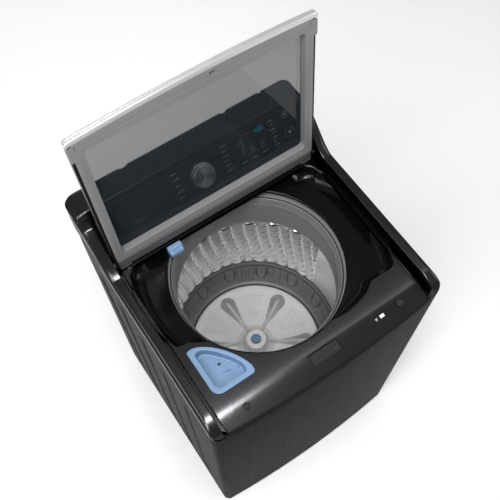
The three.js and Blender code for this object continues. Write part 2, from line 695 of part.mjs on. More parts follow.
function impeller() {
  let dish = turned(
    [[0, 343], [IMPELLER_R - 6, 343], [IMPELLER_R, 347], [IMPELLER_R, 351], [180, 349], [120, 352], [60, 361],
      [44, 368], [36, 384], [32, 398], [17, 398], [16.5, 394], [0, 394]], 40);
  const ribs = 6;
  for (let i = 0; i < ribs; i++) {
    const rib = carried([[-7, 345], [7, 345], [5, 366], [0, 369], [-5, 366]], 34, 185);
    dish = dish.add(rib.rotate([0, 0, 30 + (360 * i) / ribs]).translate([0, AXIS_Y, 0]));
  }
  return cut(dish, cylinder(10.3, 330, 388, 0, AXIS_Y, 24));
}

function impellerCap() {
  return turned([[0, 394.3], [16, 394.3], [16, 401], [13, 404.5], [0, 406]], 20);
}

function driveShaft() {
  return join(cylinder(10, 142, 387.5, 0, AXIS_Y, 24), cylinder(14, 142, 148, 0, AXIS_Y, 6));
}

function motorRotor() {
  return turned([[10.3, 149], [124, 149], [126, 152], [126, 232], [116, 232], [116, 154], [24, 154], [24, 158],
    [10.3, 158]], 28);
}

// Small parts: detergent tray, spray nozzle, water inlet valve and drain pump.

function detergentTray() {
  const outline = trayOutline();
  const rim = raised(outline, 986, 991.5);
  const cup = raised(shrunk(outline, 0.78), 957, 987);
  const well = raised(shrunk(outline, 0.72), 960, 1000);
  return cut(join(rim, cup), well);
}

function sprayNozzle() {
  const body = carried([[136, 962], [161.6, 962], [161.6, 986], [148, 986], [136, 976]], -172, -130);
  return cut(body, box(-166, -136, 130, 142, 964, 970));
}

function inletValve() {
  let valve = box(-262, -168, REAR_Y + GAP, REAR_Y + 12, 900, 950);
  for (const x of [-238, -192]) {
    valve = join(valve, crossCylinder("y", 13, REAR_Y + 8, 345, x, 925, 24));
    valve = cut(valve, crossCylinder("y", 9, REAR_Y + 14, 360, x, 925, 20));
  }
  return valve;
}

function drainPump() {
  const volute = cylinder(34, 54.3, 104, 200, 268, 20);
  const motor = cylinder(26, 100, 150, 200, 268, 18);
  const spigot = crossCylinder("y", 14, 290, 344, 200, 90, 24);
  const bore = crossCylinder("y", 10, 300, 360, 200, 90, 20);
  return cut(join(volute, motor, spigot), bore);
}

add("front_panel", frontPanel(), "blackSteel");
add("left_side_panel", leftPanel(), "blackSteel");
add("right_side_panel", leftPanel().mirror([1, 0, 0]), "blackSteel");
add("rear_panel", rearPanel(), "blackSteel");
add("base_frame", baseFrame(), "blackPlastic");
for (const [end, y] of [["front", FOOT_FRONT_Y], ["rear", FOOT_REAR_Y]])
  for (const [hand, x] of [["left", -FOOT_X], ["right", FOOT_X]])
    add(`${end}_${hand}_levelling_foot`, levellingFoot(x, y), "rubber");

add("top_cover", topCover(), "blackPlastic");
add("mouth_surround", mouthSurround(), "glossBlack");
add("left_lid_bumper", bumper(-231), "rubber");
add("right_lid_bumper", bumper(231), "rubber");
add("lid_lock_housing", lidLock(), "blackPlastic");
add("lid_lock_bolt", lockColumn(0, 949, 974), "whitePlastic");
add("console_housing", consoleHousing(), "blackPlastic");
add("console_fascia", consoleFascia(), "glossBlack", slope);
add("selector_dial", dial(), "steel", slope);
for (const [name, x, y] of OPTION_KEYS)
  add(name, keyBlock(x, y, ...KEY_HALF, 0, 2.2, GAP + FASCIA_THICKNESS + KEY_PROUD), "glossBlack", slope);
for (const [name, x, y, half] of ROUND_KEYS)
  add(name, keyBlock(x, y, half, half, 0, 2.2, GAP + FASCIA_THICKNESS + KEY_PROUD), "glossBlack", slope);
add("control_board", controlBoard(), "board", slope);

add("lid_shell", lidShell(), "blackPlastic", lid);
add("lid_inner_frame", lidInnerFrame(), "greyPlastic", lid);
add("lid_glass", lidGlass(), "smokedGlass", lid);
add("lid_front_trim", lidFrontTrim(), "chrome", lid);
add("left_lid_hinge", lidHinge(-1), "greyPlastic", lid);
add("right_lid_hinge", lidHinge(1), "greyPlastic", lid);

add("outer_tub", outerTub(), "whitePlastic");
add("bearing_housing", bearingHousing(), "steel");
add("lower_bearing", bearing(204), "steel");
add("upper_bearing", bearing(262.5), "steel");
add("motor_stator", motorStator(), "copper");
for (const [place, x, y] of suspensionPlaces()) {
  add(`${place}_suspension_rod`, suspensionRod(x, y), "steel");
  add(`${place}_damper_cup`, damperCup(x, y), "blackPlastic");
}

add("wash_drum", washDrum(), "stainless");
add("balance_ring", balanceRing(), "ringGrey");
add("drum_base", drumBase(), "baseGrey");
add("spin_tube", spinTube(), "steel");
add("clutch_slider", clutchSlider(), "whitePlastic");
add("impeller", impeller(), "impellerGrey");
add("impeller_cap", impellerCap(), "blue");
add("drive_shaft", driveShaft(), "steel");
add("motor_rotor", motorRotor(), "steel");

add("detergent_tray", detergentTray(), "blue");
add("spray_nozzle", sprayNozzle(), "blue");
add("inlet_valve", inletValve(), "whitePlastic");
add("drain_pump", drainPump(), "blackPlastic");

export default machine;
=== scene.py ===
"""A top load washing machine with its lid open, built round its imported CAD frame.

Shapes are worked out in millimetres as grids of points and stored in metres, in the frame's own axes:
+X to the right seen from the front, the front faces -Y, +Z up, the floor at zero.
"""

import math

import bmesh
import bpy
import numpy as np
from mathutils import Matrix


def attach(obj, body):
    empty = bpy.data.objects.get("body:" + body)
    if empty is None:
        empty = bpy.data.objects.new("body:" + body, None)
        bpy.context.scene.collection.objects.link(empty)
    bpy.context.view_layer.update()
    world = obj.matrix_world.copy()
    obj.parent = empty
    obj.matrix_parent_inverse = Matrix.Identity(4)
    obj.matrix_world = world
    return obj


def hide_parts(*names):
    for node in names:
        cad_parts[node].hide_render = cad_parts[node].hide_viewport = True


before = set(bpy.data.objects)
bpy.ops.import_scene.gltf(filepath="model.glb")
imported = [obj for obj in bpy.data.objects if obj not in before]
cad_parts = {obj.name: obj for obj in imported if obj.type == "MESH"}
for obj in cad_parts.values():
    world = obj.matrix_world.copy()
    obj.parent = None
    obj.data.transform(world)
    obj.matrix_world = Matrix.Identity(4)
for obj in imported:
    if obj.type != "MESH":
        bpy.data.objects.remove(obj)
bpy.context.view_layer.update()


# Camera and studio: a lens above the front left corner, a pale floor and soft lights from above.

camera_data = bpy.data.cameras.new("camera")
camera_data.lens = 51.98
camera_data.sensor_width = 36.0
camera = bpy.data.objects.new("camera", camera_data)
bpy.context.scene.collection.objects.link(camera)
bpy.context.scene.camera = camera

turn, height, roll = np.radians([-33.8, 63.6, -0.4])
back = np.array([math.sin(turn) * math.cos(height), -math.cos(turn) * math.cos(height), math.sin(height)])
right = np.cross(-back, [0, 0, 1]) / np.linalg.norm(np.cross(-back, [0, 0, 1]))
up = np.cross(right, -back)
stand = np.eye(4)
stand[:3, 0] = right * math.cos(roll) + up * math.sin(roll)
stand[:3, 1] = up * math.cos(roll) - right * math.sin(roll)
stand[:3, 2] = back
stand[:3, 3] = [-0.4593, -0.6611, 2.6679]
camera.matrix_world = Matrix(stand.tolist())


def soft_light(name, place, target, size, power):
    """A square lamp of the given size at place, facing target."""
    data = bpy.data.lights.new(name, "AREA")
    data.shape = "RECTANGLE"
    data.size, data.size_y = size
    data.energy = power
    lamp = bpy.data.objects.new(name, data)
    bpy.context.scene.collection.objects.link(lamp)
    away = np.array(place, float) - np.array(target, float)
    away /= np.linalg.norm(away)
    side = np.cross([0.0, 1.0, 0.01], away)
    side /= np.linalg.norm(side)
    turned = np.eye(4)
    turned[:3, 0], turned[:3, 1], turned[:3, 2] = side, np.cross(away, side), away
    turned[:3, 3] = place
    lamp.matrix_world = Matrix(turned.tolist())


soft_light("overhead_light", (-2.0, -1.1, 4.0), (0, 0, 0.7), (2.0, 1.6), 84)
soft_light("left_light", (-3.4, 0.2, 2.6), (0, 0, 0.8), (1.2, 2.4), 34)
soft_light("right_light", (3.0, -1.2, 3.0), (0, 0, 0.8), (1.6, 2.2), 26)
soft_light("rear_light", (0.2, 3.2, 2.8), (0, 0, 0.9), (2.4, 1.0), 26)
soft_light("deck_light", (0.66, 0.02, 3.6), (0, -0.28, 0.99), (3.0, 0.12), 6)
soft_light("drum_light", (-0.25, -0.45, 3.0), (0, 0, 0.6), (0.5, 0.5), 26)
bpy.context.scene.view_settings.view_transform = "Standard"

sky = bpy.data.worlds.new("studio")
sky.use_nodes = True
sky_shader = sky.node_tree.nodes["Background"]
sky_shader.inputs["Color"].default_value = (1, 1, 1, 1)
sky_shader.inputs["Strength"].default_value = 0.3
bpy.context.scene.world = sky

floor_mesh = bpy.data.meshes.new("floor")
FLOOR_HALF = 40
floor_corners = [(FLOOR_HALF * x, FLOOR_HALF * y, 0) for x, y in ((-1, -1), (1, -1), (1, 1), (-1, 1))]
floor_mesh.from_pydata(floor_corners, [], [(0, 1, 2, 3)])
floor = bpy.data.objects.new("floor", floor_mesh)
bpy.context.scene.collection.objects.link(floor)
floor_paint = bpy.data.materials.new("floor_paint")
floor_paint.use_nodes = True
floor_shader = floor_paint.node_tree.nodes["Principled BSDF"]
floor_look = {"Base Color": (0.9, 0.9, 0.9, 1), "Roughness": 0.9, "Specular IOR Level": 0.1,
              "Emission Color": (1, 1, 1, 1), "Emission Strength": 0.12}
for socket_name, setting in floor_look.items():
    floor_shader.inputs[socket_name].default_value = setting
floor_mesh.materials.append(floor_paint)


# Front panel: one sheet of dark painted steel, bowed 15 mm and wrapped round both front corners.
# Its paint is a satin charcoal over a fine upright brushing.


class Value:
    """One output of a node. Arithmetic on it adds Math nodes, so a pattern is written as an expression."""

    def __init__(self, finish, socket):
        self.finish = finish
        self.socket = socket

    def math(self, operation, *others):
        return self.finish.node("ShaderNodeMath", {"operation": operation}, self, *others)

    def __add__(self, other):
        return self.math("ADD", other)

    def __mul__(self, other):
        return self.math("MULTIPLY", other)

    def __sub__(self, other):
        return self.math("SUBTRACT", other)

    __radd__ = __add__
    __rmul__ = __mul__


class Finish:
    """A material being made: node() adds any node and gives back one of its outputs as a Value."""

    def __init__(self, name):
        self.material = bpy.data.materials.new(name)
        self.material.use_nodes = True
        self.tree = self.material.node_tree
        self.shader = self.tree.nodes["Principled BSDF"]

    def node(self, kind, settings, *values, output=0, **named):
        made = self.tree.nodes.new(kind)
        for key, setting in settings.items():
            setattr(made, key, setting)
        self.feed(made, {**dict(enumerate(values)), **named})
        return Value(self, made.outputs[output])

    def feed(self, made, values):
        """Links each Value to its input and sets each constant on its input."""
        for key, value in values.items():
            socket = made.inputs[key.replace("_", " ") if isinstance(key, str) else key]
            if isinstance(value, Value):
                self.tree.links.new(value.socket, socket)
            elif np.size(value) == 3 and len(socket.default_value) == 4:
                socket.default_value = (*value, 1)
            else:
                socket.default_value = value

    def place(self, scale=(1, 1, 1), turn=(0, 0, 0), centre=(0, 0, 0)):
        """Object coordinates, moved so that centre is zero, then scaled and turned."""
        where = self.node("ShaderNodeTexCoord", {}, output=3)
        where = self.node("ShaderNodeVectorMath", {"operation": "SUBTRACT"}, where, centre)
        return self.node("ShaderNodeMapping", {"vector_type": "POINT"}, where, Rotation=turn, Scale=scale)

    def noise(self, scale, detail=3.0, roughness=0.5, stretch=(1, 1, 1)):
        """Noise in object coordinates, stretched along the axes whose number in stretch is small."""
        return self.node("ShaderNodeTexNoise", {}, Vector=self.place(stretch), Scale=scale, Detail=detail,
                         Roughness=roughness)

    def blend(self, factor, first, second):
        """first where factor is 0 and second where it is 1, as colours."""
        made = self.tree.nodes.new("ShaderNodeMix")
        made.data_type = "RGBA"
        self.feed(made, {0: factor, 6: first, 7: second})
        return Value(self, made.outputs[2])

    def tone(self):
        """The piece's own "tone" numbers."""
        return self.node("ShaderNodeAttribute", {"attribute_name": "tone"}, output=2)

    def set(self, **named):
        """Sets inputs of the surface shader by name, with an underscore for each space."""
        self.feed(self.shader, named)
        return self

    def bump(self, height, strength=0.2, distance=0.001):
        """Fine relief from a height pattern; distance is in metres."""
        normal = self.node("ShaderNodeBump", {}, Strength=strength, Distance=distance, Height=height)
        self.feed(self.shader, {"Normal": normal})
        return self


charcoal_paint = Finish("charcoal_paint")
brushing = charcoal_paint.noise(260, 2, 0.6, (1, 1, 0.02))
mottle = charcoal_paint.noise(3.0, 3)
charcoal_paint.set(
    Base_Color=charcoal_paint.blend(mottle * 0.6 + brushing * 0.4, (0.026, 0.0268, 0.028),
                                    (0.042, 0.0432, 0.045)),
    Metallic=1.0,
    Roughness=0.3 + brushing * 0.16,
    Specular_Tint=(0.34, 0.34, 0.34),
)
charcoal_paint.bump(brushing, 0.06, 0.0004)


def grid_faces(rows, columns, wrap=False, loop=False):
    """Quads between neighbouring points of a grid. wrap joins the last column to the first, loop the last
    row."""
    r = np.arange(rows if loop else rows - 1)[:, None]
    c = np.arange(columns if wrap else columns - 1)[None, :]
    r2, c2 = (r + 1) % rows, (c + 1) % columns
    corners = [a * columns + b for a, b in ((r, c), (r, c2), (r2, c2), (r2, c))]
    return np.stack([np.ravel(np.broadcast_to(x, (r.size, c.size))) for x in corners], axis=1)


def make_piece(name, patches, body, finish, stands_for=(), wall=0.0, facing=None, crease=35,
               tones=None):
    """Joins grids of points in millimetres into one mesh that rides on a body.

    A patch is (points, wrap, loop, capped). facing is a far point in millimetres that an open sheet looks
    towards; closed shells look outwards. wall in millimetres thickens a sheet away from its face. tones
    holds one grid of numbers for each patch, kept as the attribute "tone" for the finish to read.
    """
    points, faces, start = [], [], 0
    for grid, *ways in patches:
        wrap, loop, capped = (*ways, False, False, False)[:3]
        grid = np.asarray(grid, float)
        rows, columns = grid.shape[:2]
        points.append(grid.reshape(-1, 3))
        faces += (grid_faces(rows, columns, wrap, loop) + start).tolist()
        if capped:
            faces.append(list(range(start + columns - 1, start - 1, -1)))
            faces.append(list(range(start + (rows - 1) * columns, start + rows * columns)))
        start += rows * columns
    mesh = bpy.data.meshes.new(name)
    mesh.from_pydata((np.concatenate(points) * 0.001).tolist(), [], faces)
    if tones is not None:
        tone = mesh.attributes.new("tone", "FLOAT", "POINT")
        tone.data.foreach_set("value", np.concatenate([np.ravel(t) for t in tones]).astype(np.float32))
    work = bmesh.new()
    work.from_mesh(mesh)
    bmesh.ops.remove_doubles(work, verts=work.verts, dist=2e-6)
    bmesh.ops.dissolve_degenerate(work, edges=work.edges, dist=1e-7)
    bmesh.ops.recalc_face_normals(work, faces=work.faces)
    if facing is not None:
        aim = np.array(facing) * 0.001
        sense = sum(f.normal.dot((aim - np.array(f.calc_center_median())).tolist()) * f.calc_area()
                    for f in work.faces)
        if sense < 0:
            bmesh.ops.reverse_faces(work, faces=work.faces)
    work.to_mesh(mesh)
    work.free()
    mesh.materials.append(finish.material)
    mesh.shade_smooth()
    mesh.set_sharp_from_angle(angle=math.radians(crease))
    piece = bpy.data.objects.new(name, mesh)
    bpy.context.scene.collection.objects.link(piece)
    if wall:
        thick = piece.modifiers.new("wall", "SOLIDIFY")
        thick.thickness = wall * 0.001
        thick.offset = -1
    if tones is None:
        piece.modifiers.new("flat_faces", "WEIGHTED_NORMAL").keep_sharp = True
    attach(piece, body)
    if stands_for:
        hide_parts(*([stands_for] if isinstance(stands_for, str) else stands_for))
    return piece


HALF_WIDTH = 343.0
REAR = 315.5
SEAM = 965.0
CORNER_X = 321.0
CORNER_Y = -312.5
CORNER_RADIUS = 22.0
FRONT_BOW = 15.0


def smooth(t):
    """0 to 1 with level ends, as the cubic 3 t squared less 2 t cubed."""
    return t * t * (3 - 2 * t)


def bowed_front(x, inset=0.0):
    """The front's plan line: 15 mm further forward at the middle than at the corners, as a parabola, and a
    22 mm arc round each corner."""
    x = np.abs(np.asarray(x, float))
    bow = CORNER_Y - CORNER_RADIUS - FRONT_BOW * (1 - (np.minimum(x, CORNER_X) / CORNER_X) ** 2) + inset
    radius = CORNER_RADIUS - inset
    arc = CORNER_Y - np.sqrt(np.clip(radius**2 - (x - CORNER_X) ** 2, 0, None))
    return np.where(x > CORNER_X, arc, bow)


def plan_line(inset=0.0, back_to=-300.0):
    """Points along the front from the left side round to the right side, as [x, y]."""
    swing = np.radians(np.linspace(180, 268, 14))
    radius = CORNER_RADIUS - inset
    left = np.stack([-CORNER_X + radius * np.cos(swing), CORNER_Y + radius * np.sin(swing)], axis=1)
    x = np.linspace(-318, 318, 60)
    middle = np.stack([x, bowed_front(x, inset)], axis=1)
    left = np.vstack([[-HALF_WIDTH + inset, back_to], left])
    return np.vstack([left, middle, (left * [-1, 1])[::-1]])


def at_levels(lines):
    """Rows of points from pairs of a plan line and the height it lies at."""
    return np.array([np.column_stack([line, np.full(len(line), z)]) for line, z in lines])


def whole_turn(count):
    """Evenly spaced angles round a whole turn, the last short of the first."""
    return np.linspace(0, 2 * math.pi, count, endpoint=False)


front_insets = [(2.2, 25.5), (1.4, 23.6), (0.5, 23.0), (0, 24.5)] + [(0, z) for z in np.linspace(40, 945, 12)]
front_insets += [(0, 960.5), (0.4, 962.2), (1.5, 963.0), (4, 963.0)]
front_rows = at_levels([(plan_line(inset), z) for inset, z in front_insets])
make_piece("front_panel_sheet", [(front_rows,)], "cabinet", charcoal_paint, "front_panel",
           wall=1.0, facing=(0, -9000, 500))


# Side panels: flat painted sheets stiffened by long shallow pressings that lean a little. Each has a rolled
# top and bottom edge and a flange turned in at the rear corner, where it is screwed to the rear panel.


def pressing(across, z, centre, lean, width, low, high, depth):
    """Depth of one long pressing: a flat-bottomed groove that leans, with smooth sides and round ends."""
    line = centre + lean * (z - 500) / 500
    side = np.clip((width / 2 - np.abs(across - line)) / 9.0, 0, 1)
    end = np.clip(np.minimum(z - low, high - z) / 30.0, 0, 1)
    return depth * smooth(np.minimum(side, end))


def pressed_side(side):
    """A side sheet: five pressings, and its top, bottom and rear edges rolled in by small steps."""
    corner = [(299, 0), (306, 0), (REAR - 2.2, 0), (REAR - 0.7, 0.6), (REAR, 2.2), (REAR, 9), (REAR, 17.6)]
    corner_y, corner_in = np.transpose(corner)
    y = np.concatenate([np.linspace(-299.7, -282, 6), np.linspace(-279, 296, 190), corner_y])
    turned_in = np.concatenate([np.zeros(len(y) - len(corner)), corner_in])
    z = np.concatenate([[23, 23.4, 25], np.linspace(30, 955, 130), [962.5, 964.2, 964.7]])
    rolled_in = np.concatenate([[2.2, 0.6, 0], np.zeros(131), [0.8, 2.6]])
    yy, zz = np.meshgrid(y, z)
    inward = turned_in[None, :] + rolled_in[:, None]
    for centre in (-205, -95, 15, 125, 235):
        inward = inward + pressing(yy, zz, centre, 16, 42, 120, 860, 3.2)
    return np.stack([side * (HALF_WIDTH - inward), yy, zz], axis=-1)


SIDES = (("left", -1), ("right", 1))
for hand, side in SIDES:
    make_piece(hand + "_side_sheet", [(pressed_side(side),)], "cabinet", charcoal_paint, hand + "_side_panel",
               wall=1.0, facing=(side * 9000, 0, 500))


# Top cover: one satin black moulding. A flat deck rolls over towards the front edge, a raised rail runs down
# each side and falls round the front corner, and a narrow drain slot divides the deck from each rail.

satin_black = Finish("satin_black")
grain = satin_black.noise(900, 2, 0.6)
cloud = satin_black.noise(6, 2)
satin_black.set(
    Base_Color=satin_black.blend(cloud, (0.052, 0.053, 0.0552), (0.066, 0.0672, 0.0695)),
    Metallic=1.0,
    Roughness=0.19 + grain * 0.07,
    Specular_Tint=(0.2, 0.2, 0.2),
)
satin_black.bump(grain, 0.1, 0.0002)

DECK = 990.0
RAIL = 1027.0
SLOT_FLOOR = 975.0
SLOT_FRONT = 0.60
DECK_SIDE = 303.0
TROUGH_FRONT = 163.0
TROUGH_REAR = 203.0
TROUGH_FLOOR = 977.0
AXIS = -7.5


def deck_height(x, y):
    """Flat at 990, then a soft knee at Y -286 into a falling slope, and a 9 mm round at the front edge."""
    ahead = -286.0 - y
    drop = 0.3 * (ahead + np.sqrt(ahead**2 + 90)) / 2
    edge = np.clip(9.0 - (y - bowed_front(x)), 0, 9)
    return DECK - drop - (9 - np.sqrt(81 - edge**2)) * 0.45


def rail_height(x, y):
    """The rail's top less a quarter ellipse at its front end and a 13 mm round along its outer side, the two
    drops added as the sides of a right angle are."""
    x = np.abs(x)
    corner = (x > CORNER_X) & (y < CORNER_Y)
    inside = np.where(corner, CORNER_RADIUS - np.hypot(x - CORNER_X, y - CORNER_Y),
                      np.minimum(HALF_WIDTH - x, y - bowed_front(x)))
    front = np.clip(1 - (y - bowed_front(np.minimum(x, CORNER_X))) / 62.0, 0, 1)
    end = 42 * (1 - np.sqrt(1 - np.clip(front, 0, 0.9999) ** 2))
    side = np.clip(1 - inside / 13.0, 0, 1)
    shoulder = 13 * (1 - np.sqrt(1 - np.clip(side, 0, 0.9999) ** 2))
    lip = np.where(x < 316.5, (1 - np.sqrt(np.clip(1 - ((316.5 - x) / 2.5) ** 2, 0, 1))) * 2.5, 0)
    return np.maximum(RAIL - np.hypot(end, shoulder) - lip, 967.5)


def joined_height(x, y):
    """The deck's height passing into the rail's over 16 mm, ahead of the slot between them."""
    ease = smooth(np.clip((x - 302) / 16, 0, 1))
    return deck_height(x, y) * (1 - ease) + rail_height(x, y) * ease


def rail_grid(side):
    """Cross sections of slot, rail and outer skirt, from the console to the front edge. Stations marked y
    are places; stations marked t are shares of the way from Y -300 to the bowed front, and past the slot's
    end the section runs straight from deck to rail."""
    swing = np.radians(np.linspace(90, 0, 12))
    x = np.concatenate([[DECK_SIDE, 303, 304.5, 308.5, 312.5, 314, 314], [314.4, 315.2, 316.5, 319, 323, 327],
                        330 + 13 * np.cos(swing)])
    in_slot = slice(1, 6)
    rows = []
    along = [TROUGH_REAR, TROUGH_FRONT + 0.2, TROUGH_FRONT, *np.linspace(150, -260, 24),
             *np.linspace(-268, -298, 6)]
    stations = [("y", v) for v in along]
    stations += [("t", v) for v in [0.1, 0.25, 0.4, 0.5, SLOT_FRONT - 0.001, SLOT_FRONT, 0.66, 0.72, 0.8,
                                    0.87, 0.93,
                                    0.97, 0.99, 1.0]]
    for how, value in stations:
        y = np.full(len(x), value) if how == "y" else -300 + value * (bowed_front(x) + 300)
        if how == "t" and value >= SLOT_FRONT:
            z = joined_height(x, y)
        else:
            z = rail_height(x, y)
            z[0] = TROUGH_FLOOR if value > TROUGH_FRONT else deck_height(x, y)[0]
            z[in_slot] = SLOT_FLOOR
        row = np.stack([side * x, y, z], axis=1)
        skirt = row[-1:] * [1, 1, 0] + [0, 0, SEAM]
        rows.append(np.vstack([row, skirt]))
    return np.array(rows)


def front_skirt(side):
    """The short wall below the rail's front end and the deck's front edge, down to the seam."""
    x = np.concatenate([np.linspace(0, 300, 26), [303], np.linspace(305, 343, 14)])
    y = bowed_front(x)
    top = np.stack([side * x, y, joined_height(x, y)], axis=1)
    return np.stack([top, top * [1, 1, 0] + [0, 0, SEAM]])


def rounded(points, radius, steps=6, closed=False):
    """Each corner of an outline becomes an arc that touches both its sides, cut short where a side is
    short."""
    points = np.asarray(points, float)
    radii = np.broadcast_to(radius, len(points))
    line = []
    for i, corner in enumerate(points):
        if radii[i] <= 0 or (not closed and i in (0, len(points) - 1)):
            line.append(corner)
            continue
        a, b = points[i - 1] - corner, points[(i + 1) % len(points)] - corner
        reach_a, reach_b = np.linalg.norm(a), np.linalg.norm(b)
        a, b = a / reach_a, b / reach_b
        half = math.acos(np.clip(a @ b, -1, 1)) / 2
        if half > math.radians(89):
            line.append(corner)
            continue
        reach = min(radii[i] / math.tan(half), 0.49 * reach_a, 0.49 * reach_b)
        size = reach * math.tan(half)
        centre = corner + (a + b) / np.linalg.norm(a + b) * size / math.sin(half)
        for t in np.linspace(0, 1, steps + 1):
            spoke = corner + a * reach * (1 - t) + b * reach * t - centre
            line.append(centre + size * spoke / np.linalg.norm(spoke))
    return np.array(line)


# The deck's opening, seen from above: round the drum at the front, and a wide bay behind whose right end
# swings forward in a shallow S.
front_arc = np.radians(np.linspace(207, 283, 34))
opening = np.vstack([
    np.stack([242 * np.cos(front_arc), AXIS + 242 * np.sin(front_arc)], axis=1),
    rounded([[60, -240], [110, -246], [183, -230], [209, -212], [244, -212], [293, -216], [293, 162],
             [-293, 162],
             [-293, -90], [-262, -90], [-220, -118]], [0, 60, 30, 26, 30, 26, 34, 34, 20, 22, 20], 8)[:-1],
])
opening_angle = np.arctan2(opening[:, 1], opening[:, 0]) % (2 * math.pi)
order = np.argsort(opening_angle)


def reach_of_opening(angle):
    """How far the opening's edge is from the middle at an angle, read off its outline."""
    steps = np.hypot(opening[:, 0], opening[:, 1])[order]
    return np.interp(angle, opening_angle[order], steps, period=2 * math.pi)


def deck_sheet():
    """Rays from the opening's edge out to the deck's outer line, with the edge turned down 4 mm into the
    bay."""
    corners = [math.atan2(y, x) for y in (TROUGH_FRONT, -335.9) for x in (DECK_SIDE, -DECK_SIDE)]
    angle = np.sort(np.concatenate([np.linspace(-math.pi, math.pi, 480, endpoint=False), corners]))
    unit = np.stack([np.cos(angle), np.sin(angle)], axis=1)
    inner = reach_of_opening(angle)
    side = DECK_SIDE / np.maximum(np.abs(unit[:, 0]), 1e-9)
    rear = np.where(unit[:, 1] > 0, TROUGH_FRONT / np.maximum(unit[:, 1], 1e-9), 1e9)
    front = np.full(len(angle), 1e9)
    ahead = unit[:, 1] < -0.3
    guess = np.full(len(angle), 340.0)
    for _ in range(30):
        guess = bowed_front(guess * unit[:, 0]) / np.where(ahead, unit[:, 1], -1)
    front[ahead] = guess[ahead]
    outer = np.minimum(np.minimum(side, rear), front)
    rows = []
    for out, down in ((0.0, 12.0), (0.0, 4.0), (0.35, 2.0), (1.2, 0.7), (2.6, 0.12), (4.0, 0.0)):
        x, y = ((inner + out)[:, None] * unit).T
        rows.append(np.stack([x, y, deck_height(x, y) - down], axis=1))
    for t in np.linspace(0, 1, 46)[1:]:
        x, y = ((inner + 4 + (outer - inner - 4) * t)[:, None] * unit).T
        rows.append(np.stack([x, y, deck_height(x, y)], axis=1))
    return np.array(rows)


def hinge_trough():
    """The sunk strip between the deck and the console."""
    x = np.linspace(-DECK_SIDE, DECK_SIDE, 9)
    rows = [(TROUGH_FRONT, DECK), (TROUGH_FRONT, TROUGH_FLOOR), (TROUGH_REAR, TROUGH_FLOOR)]
    return np.array([[[a, y, z] for a in x] for y, z in rows])


def cut_through(piece, outlines, low, high):
    """Cuts upright holes of the given plan outlines through a piece, after its wall has its thickness."""
    points, faces = [], []
    for outline in outlines:
        start, count = len(points), len(outline)
        points += [[x, y, z] for z in (low, high) for x, y in outline]
        ring = np.arange(count)
        after = (ring + 1) % count
        faces += (np.stack([ring, after, after + count, ring + count], axis=1) + start).tolist()
        faces += [(start + ring[::-1]).tolist(), (start + count + ring).tolist()]
    mesh = bpy.data.meshes.new("cutter")
    mesh.from_pydata((np.array(points) * 0.001).tolist(), [], faces)
    cutter = bpy.data.objects.new("cutter", mesh)
    bpy.context.scene.collection.objects.link(cutter)
    hole = piece.modifiers.new("holes", "BOOLEAN")
    hole.operation, hole.solver, hole.object = "DIFFERENCE", "EXACT", cutter
    done = bpy.data.meshes.new_from_object(piece.evaluated_get(bpy.context.evaluated_depsgraph_get()))
    piece.modifiers.clear()
    piece.data = done
    done.shade_smooth()
    done.set_sharp_from_angle(angle=math.radians(30))
    bpy.data.objects.remove(cutter)


def fan_line(inset):
    """The tray's outline drawn in by an inset: a quarter fan with its corner at the front left, two straight
    sides and a cubic curve between their ends."""
    t = np.linspace(0, 1, 24)[:, None]
    ends = np.array([[-164, -232], [-174, -178], [-230, -114], [-268, -111]], float)
    ends += inset * np.array([[-1.1, 1.0], [-0.85, -0.45], [-0.45, -0.85], [1.0, -1.05]])
    weights = [(1 - t) ** 3, 3 * (1 - t) ** 2 * t, 3 * (1 - t) * t**2, t**3]
    curve = sum(weight * end for weight, end in zip(weights, ends))
    swing = np.radians(np.linspace(180, 270, 12))
    radius = max(25 - 0.6 * inset, 6)
    middle = np.array([-281, -246]) + inset + radius
    return np.vstack([
        np.stack([middle[0] + radius * np.cos(swing), middle[1] + radius * np.sin(swing)], axis=1),
        rounded([[-215, -246 + inset], [-166 - 1.1 * inset, -246 + inset], ends[0] + [-1, 6]], [0, 9, 0],
                6)[1:],
        curve[1:],
        rounded([ends[3], [-281 + inset, -112 - 1.05 * inset], [-281 + inset, -150]], [0, 12, 0], 6)[1:],
    ])


fan_middle = np.array([-238.0, -196.0])
fan = fan_line(0.0)
fan_spoke = fan - fan_middle
fan_hole = fan + fan_spoke / np.linalg.norm(fan_spoke, axis=1, keepdims=True) * 0.7
recess_hole = rounded([[-44, -314], [44, -314], [44, -284], [-44, -284]], 2.5, 4, closed=True)

deck = make_piece("deck", [(deck_sheet(), True), (hinge_trough(),)], "cabinet", satin_black, "top_cover",
                  wall=2.4, facing=(0, -400, 9000))
cut_through(deck, [fan_hole, recess_hole], 960, 1010)
for hand, side in SIDES:
    make_piece(hand + "_rail", [(rail_grid(side),), (front_skirt(side),)], "cabinet", satin_black,
               "top_cover",
               wall=2.0, facing=(side * 3000, -2000, 9000))


rear_line = rounded([[-HALF_WIDTH, 203], [-HALF_WIDTH, REAR], [HALF_WIDTH, REAR], [HALF_WIDTH, 203]], 5)
make_piece("rear_edge_band", [(at_levels([(rear_line, SEAM), (rear_line, 990.2)]),)], "cabinet", satin_black,
           "top_cover",
           wall=2.0, facing=(0, 9000, 900))


# Deck fittings: the two rubber bumpers that the lid lands on, the latch recess in the deck's front edge
# with the bolt under it, and a blank rating sticker.

rubber = Finish("black_rubber")
rubber.set(Base_Color=(0.008, 0.008, 0.0085), Roughness=0.55 + rubber.noise(60, 2) * 0.2)


def turned(profile, steps=96, x=0.0, y=AXIS):
    """A profile of [radius, height] pairs carried round an upright axis."""
    swing = whole_turn(steps)
    radius, z = np.asarray(profile, float).T
    return np.stack([x + np.outer(radius, np.cos(swing)), y + np.outer(radius, np.sin(swing)),
                     np.repeat(z[:, None], steps, axis=1)], axis=-1)


